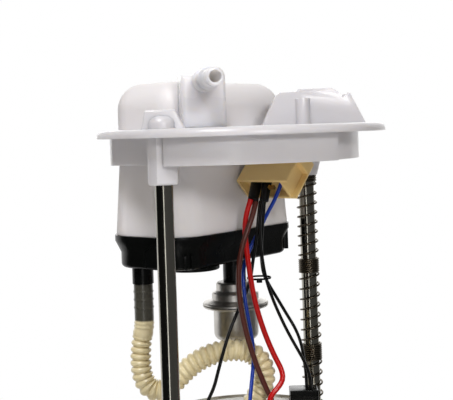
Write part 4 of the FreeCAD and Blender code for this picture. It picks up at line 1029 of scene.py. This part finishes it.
@dataclass
class ReservoirUnit(SubAssembly):
    """The swirl pot that stands in the tank, with its cover, valve, strainer and bushes."""

    dressed: dict[str, tuple[Finish, float]] = field(default_factory=lambda: {
        "reservoir_cup": (NATURAL_NYLON, 0.5), "reservoir_cover": (NATURAL_NYLON, 0.4),
        "umbrella_valve": (FUEL_RUBBER, 0.1), "strainer": (NYLON_MESH, 0.0),
        "wire_bush_1": (FUEL_RUBBER, 0.1), "wire_bush_2": (FUEL_RUBBER, 0.1),
        "isolator": (FUEL_RUBBER, 0.2), "pump_plug": (BLACK_ACETAL, 0.4)})


@dataclass
class PumpInside(SubAssembly):
    """The electric pump: shell, motor, impeller and outlet with its check valve."""

    dressed: dict[str, tuple[Finish, float]] = field(default_factory=lambda: {
        "pump_shell": (ZINC_PLATE, 0.2), "outlet_cap": (BLACK_ACETAL, 0.15),
        "check_valve": (STAMPED_BRASS, 0.1), "magnet_1": (SINTERED_FERRITE, 0.2),
        "magnet_2": (SINTERED_FERRITE, 0.2), "armature": (VARNISHED_IRON, 0.15),
        "shaft": (DRAWN_STEEL, 0.1), "commutator": (TURNED_COPPER, 0.1),
        "brush_1": (PRESSED_CARBON, 0.15), "brush_2": (PRESSED_CARBON, 0.15),
        "chamber_upper": (GREY_POLYMER, 0.2), "chamber_lower": (GREY_POLYMER, 0.2),
        "impeller": (GREY_POLYMER, 0.05)})


@dataclass
class LevelSender(SubAssembly):
    """The fuel level sender on the pot's side."""

    dressed: dict[str, tuple[Finish, float]] = field(default_factory=lambda: {
        "sender_connector": (BLACK_ACETAL, 0.4), "sender_bracket": (BLACK_ACETAL, 0.4),
        "sender_card": (CERAMIC_CARD, 0.1), "float_arm": (DRAWN_STEEL, 0.0),
        "float": (FLOAT_FOAM, 0.6)})


CORDS: tuple[Cord, ...] = (
    Cord("wire_red", RED_WIRE, 2.5, (
        (-7.7, -10.6, -30.1), (-9.7, -9.6, -35.5), (-10.7, -8.9, -41.7), (-11.0, -9.3, -48.6),
        (-11.0, -10.1, -55.9), (-10.9, -11.1, -64.2), (-10.4, -12.5, -74.3), (-9.4, -14.5, -83.9),
        (-7.9, -17.2, -93.6), (-6.1, -20.3, -102.3), (-5.1, -23.1, -107.7), (-5.9, -24.5, -111.9),
        (-8.8, -23.8, -115.0), (-11.9, -22.2, -117.7), (-13.7, -21.2, -122.0),
        (-13.7, -21.2, -126.95))),
    Cord("wire_brown", BROWN_WIRE, 2.5, (
        (-5.4, -11.8, -31.2), (-8.0, -12.3, -35.8), (-11.5, -12.0, -42.0), (-14.9, -10.8, -49.5),
        (-16.8, -9.6, -58.0), (-17.4, -9.3, -67.1), (-17.3, -9.8, -77.1), (-16.3, -11.2, -87.2),
        (-14.9, -12.9, -96.4), (-12.8, -14.6, -105.3), (-10.8, -16.3, -112.3),
        (-9.4, -17.8, -117.5), (-8.2, -19.5, -121.4), (-8.2, -19.5, -126.95))),
    Cord("wire_blue", BLUE_WIRE, 1.8, (
        (2.2, -21.6, -22.1), (0.6, -19.3, -29.4), (0.8, -13.7, -37.0), (0.4, -9.6, -44.1),
        (-1.7, -6.8, -50.4), (-5.4, -5.3, -57.1), (-8.3, -5.0, -64.0), (-9.7, -6.3, -71.6),
        (-10.6, -8.1, -80.1), (-10.7, -10.0, -88.7), (-10.6, -11.4, -96.9), (-10.9, -11.6, -104.7),
        (-13.6, -12.3, -112.3), (-18.3, -14.7, -118.2), (-23.5, -17.7, -124.0),
        (-23.5, -17.7, -131.95)), sides=10),
    Cord("wire_black_a", BLACK_WIRE, 1.6, (
        (-4.3, -15.0, -30.0), (-5.6, -14.4, -36.0), (-6.0, -13.8, -42.9), (-5.0, -13.4, -50.9),
        (-3.5, -13.1, -59.0), (-1.0, -12.7, -67.0), (2.9, -12.5, -75.3), (8.0, -12.5, -84.1),
        (14.4, -12.4, -93.6), (21.2, -12.6, -102.7), (27.6, -13.0, -111.2), (34.6, -12.0, -120.6),
        (34.6, -12.0, -127.05)), sides=10),
    Cord("wire_black_b", BLACK_WIRE, 1.6, (
        (-3.2, -12.8, -31.0), (-3.2, -11.6, -37.2), (-3.4, -10.7, -44.2), (-4.2, -9.7, -52.1),
        (-4.7, -8.3, -59.6), (-5.0, -7.1, -67.1), (-7.1, -5.4, -74.4), (-11.7, -3.7, -82.2),
        (-16.8, -2.5, -90.7), (-20.3, -1.3, -99.8), (-22.7, 0.1, -108.2), (-25.0, 1.0, -115.5),
        (-28.9, 2.8, -122.0), (-28.9, 2.8, -131.95)), sides=10),
    Cord("wire_black_c", BLACK_WIRE, 1.6, (
        (-1.9, -14.2, -31.3), (-1.7, -13.2, -36.8), (-1.7, -12.2, -43.8), (-1.3, -11.1, -51.4),
        (-0.6, -10.3, -59.0), (0.9, -10.0, -65.6), (3.9, -10.9, -71.3), (8.9, -11.9, -78.4),
        (15.3, -12.6, -87.0), (22.0, -13.0, -95.3), (27.1, -12.3, -103.4), (31.0, -10.8, -111.7),
        (35.5, -8.8, -120.6), (35.5, -8.8, -127.05)), sides=10),
    FuelHose("hose", HOSE_NYLON, 9.6, (
        (-34.8, 33.8, -68.2), (-34.8, 33.8, -79.0), (-34.8, 33.8, -88.0), (-35.7, 35.1, -94.8),
        (-36.3, 35.5, -101.3), (-36.5, 35.4, -107.4), (-36.0, 34.5, -113.0), (-34.5, 32.2, -117.3),
        (-32.0, 28.8, -118.9), (-29.3, 25.1, -117.6), (-26.5, 21.0, -112.6), (-23.8, 17.1, -108.1),
        (-20.9, 13.1, -104.7), (-17.8, 8.7, -102.2), (-14.3, 3.9, -100.6), (-10.6, -1.3, -100.0),
        (-7.1, -6.2, -101.1), (-4.4, -9.9, -104.3), (-3.1, -11.8, -109.4), (-3.3, -11.7, -115.0),
        (-4.8, -10.1, -119.8), (-6.5, -8.1, -123.2), (-7.2, -7.2, -126.6), (-7.2, -7.2, -133.4)),
             stiffness="stiff"),
)


ASSEMBLIES: tuple[type[SubAssembly], ...] = (FlangeUnit, FilterCanister, Regulator, GuideRods,
                                             LeadPlug, ReservoirUnit, PumpInside, LevelSender)


def main() -> None:
    """Builds the scene: viewpoint, cords, the other pieces and the room."""
    logging.basicConfig(level=logging.INFO, format="%(message)s")
    Camera().build()
    for cord in CORDS:
        cord.build()
    SpringCoil().build()
    for assembly in ASSEMBLIES:
        assembly().build()
    Studio().build()


if __name__ == "__main__":
    main()
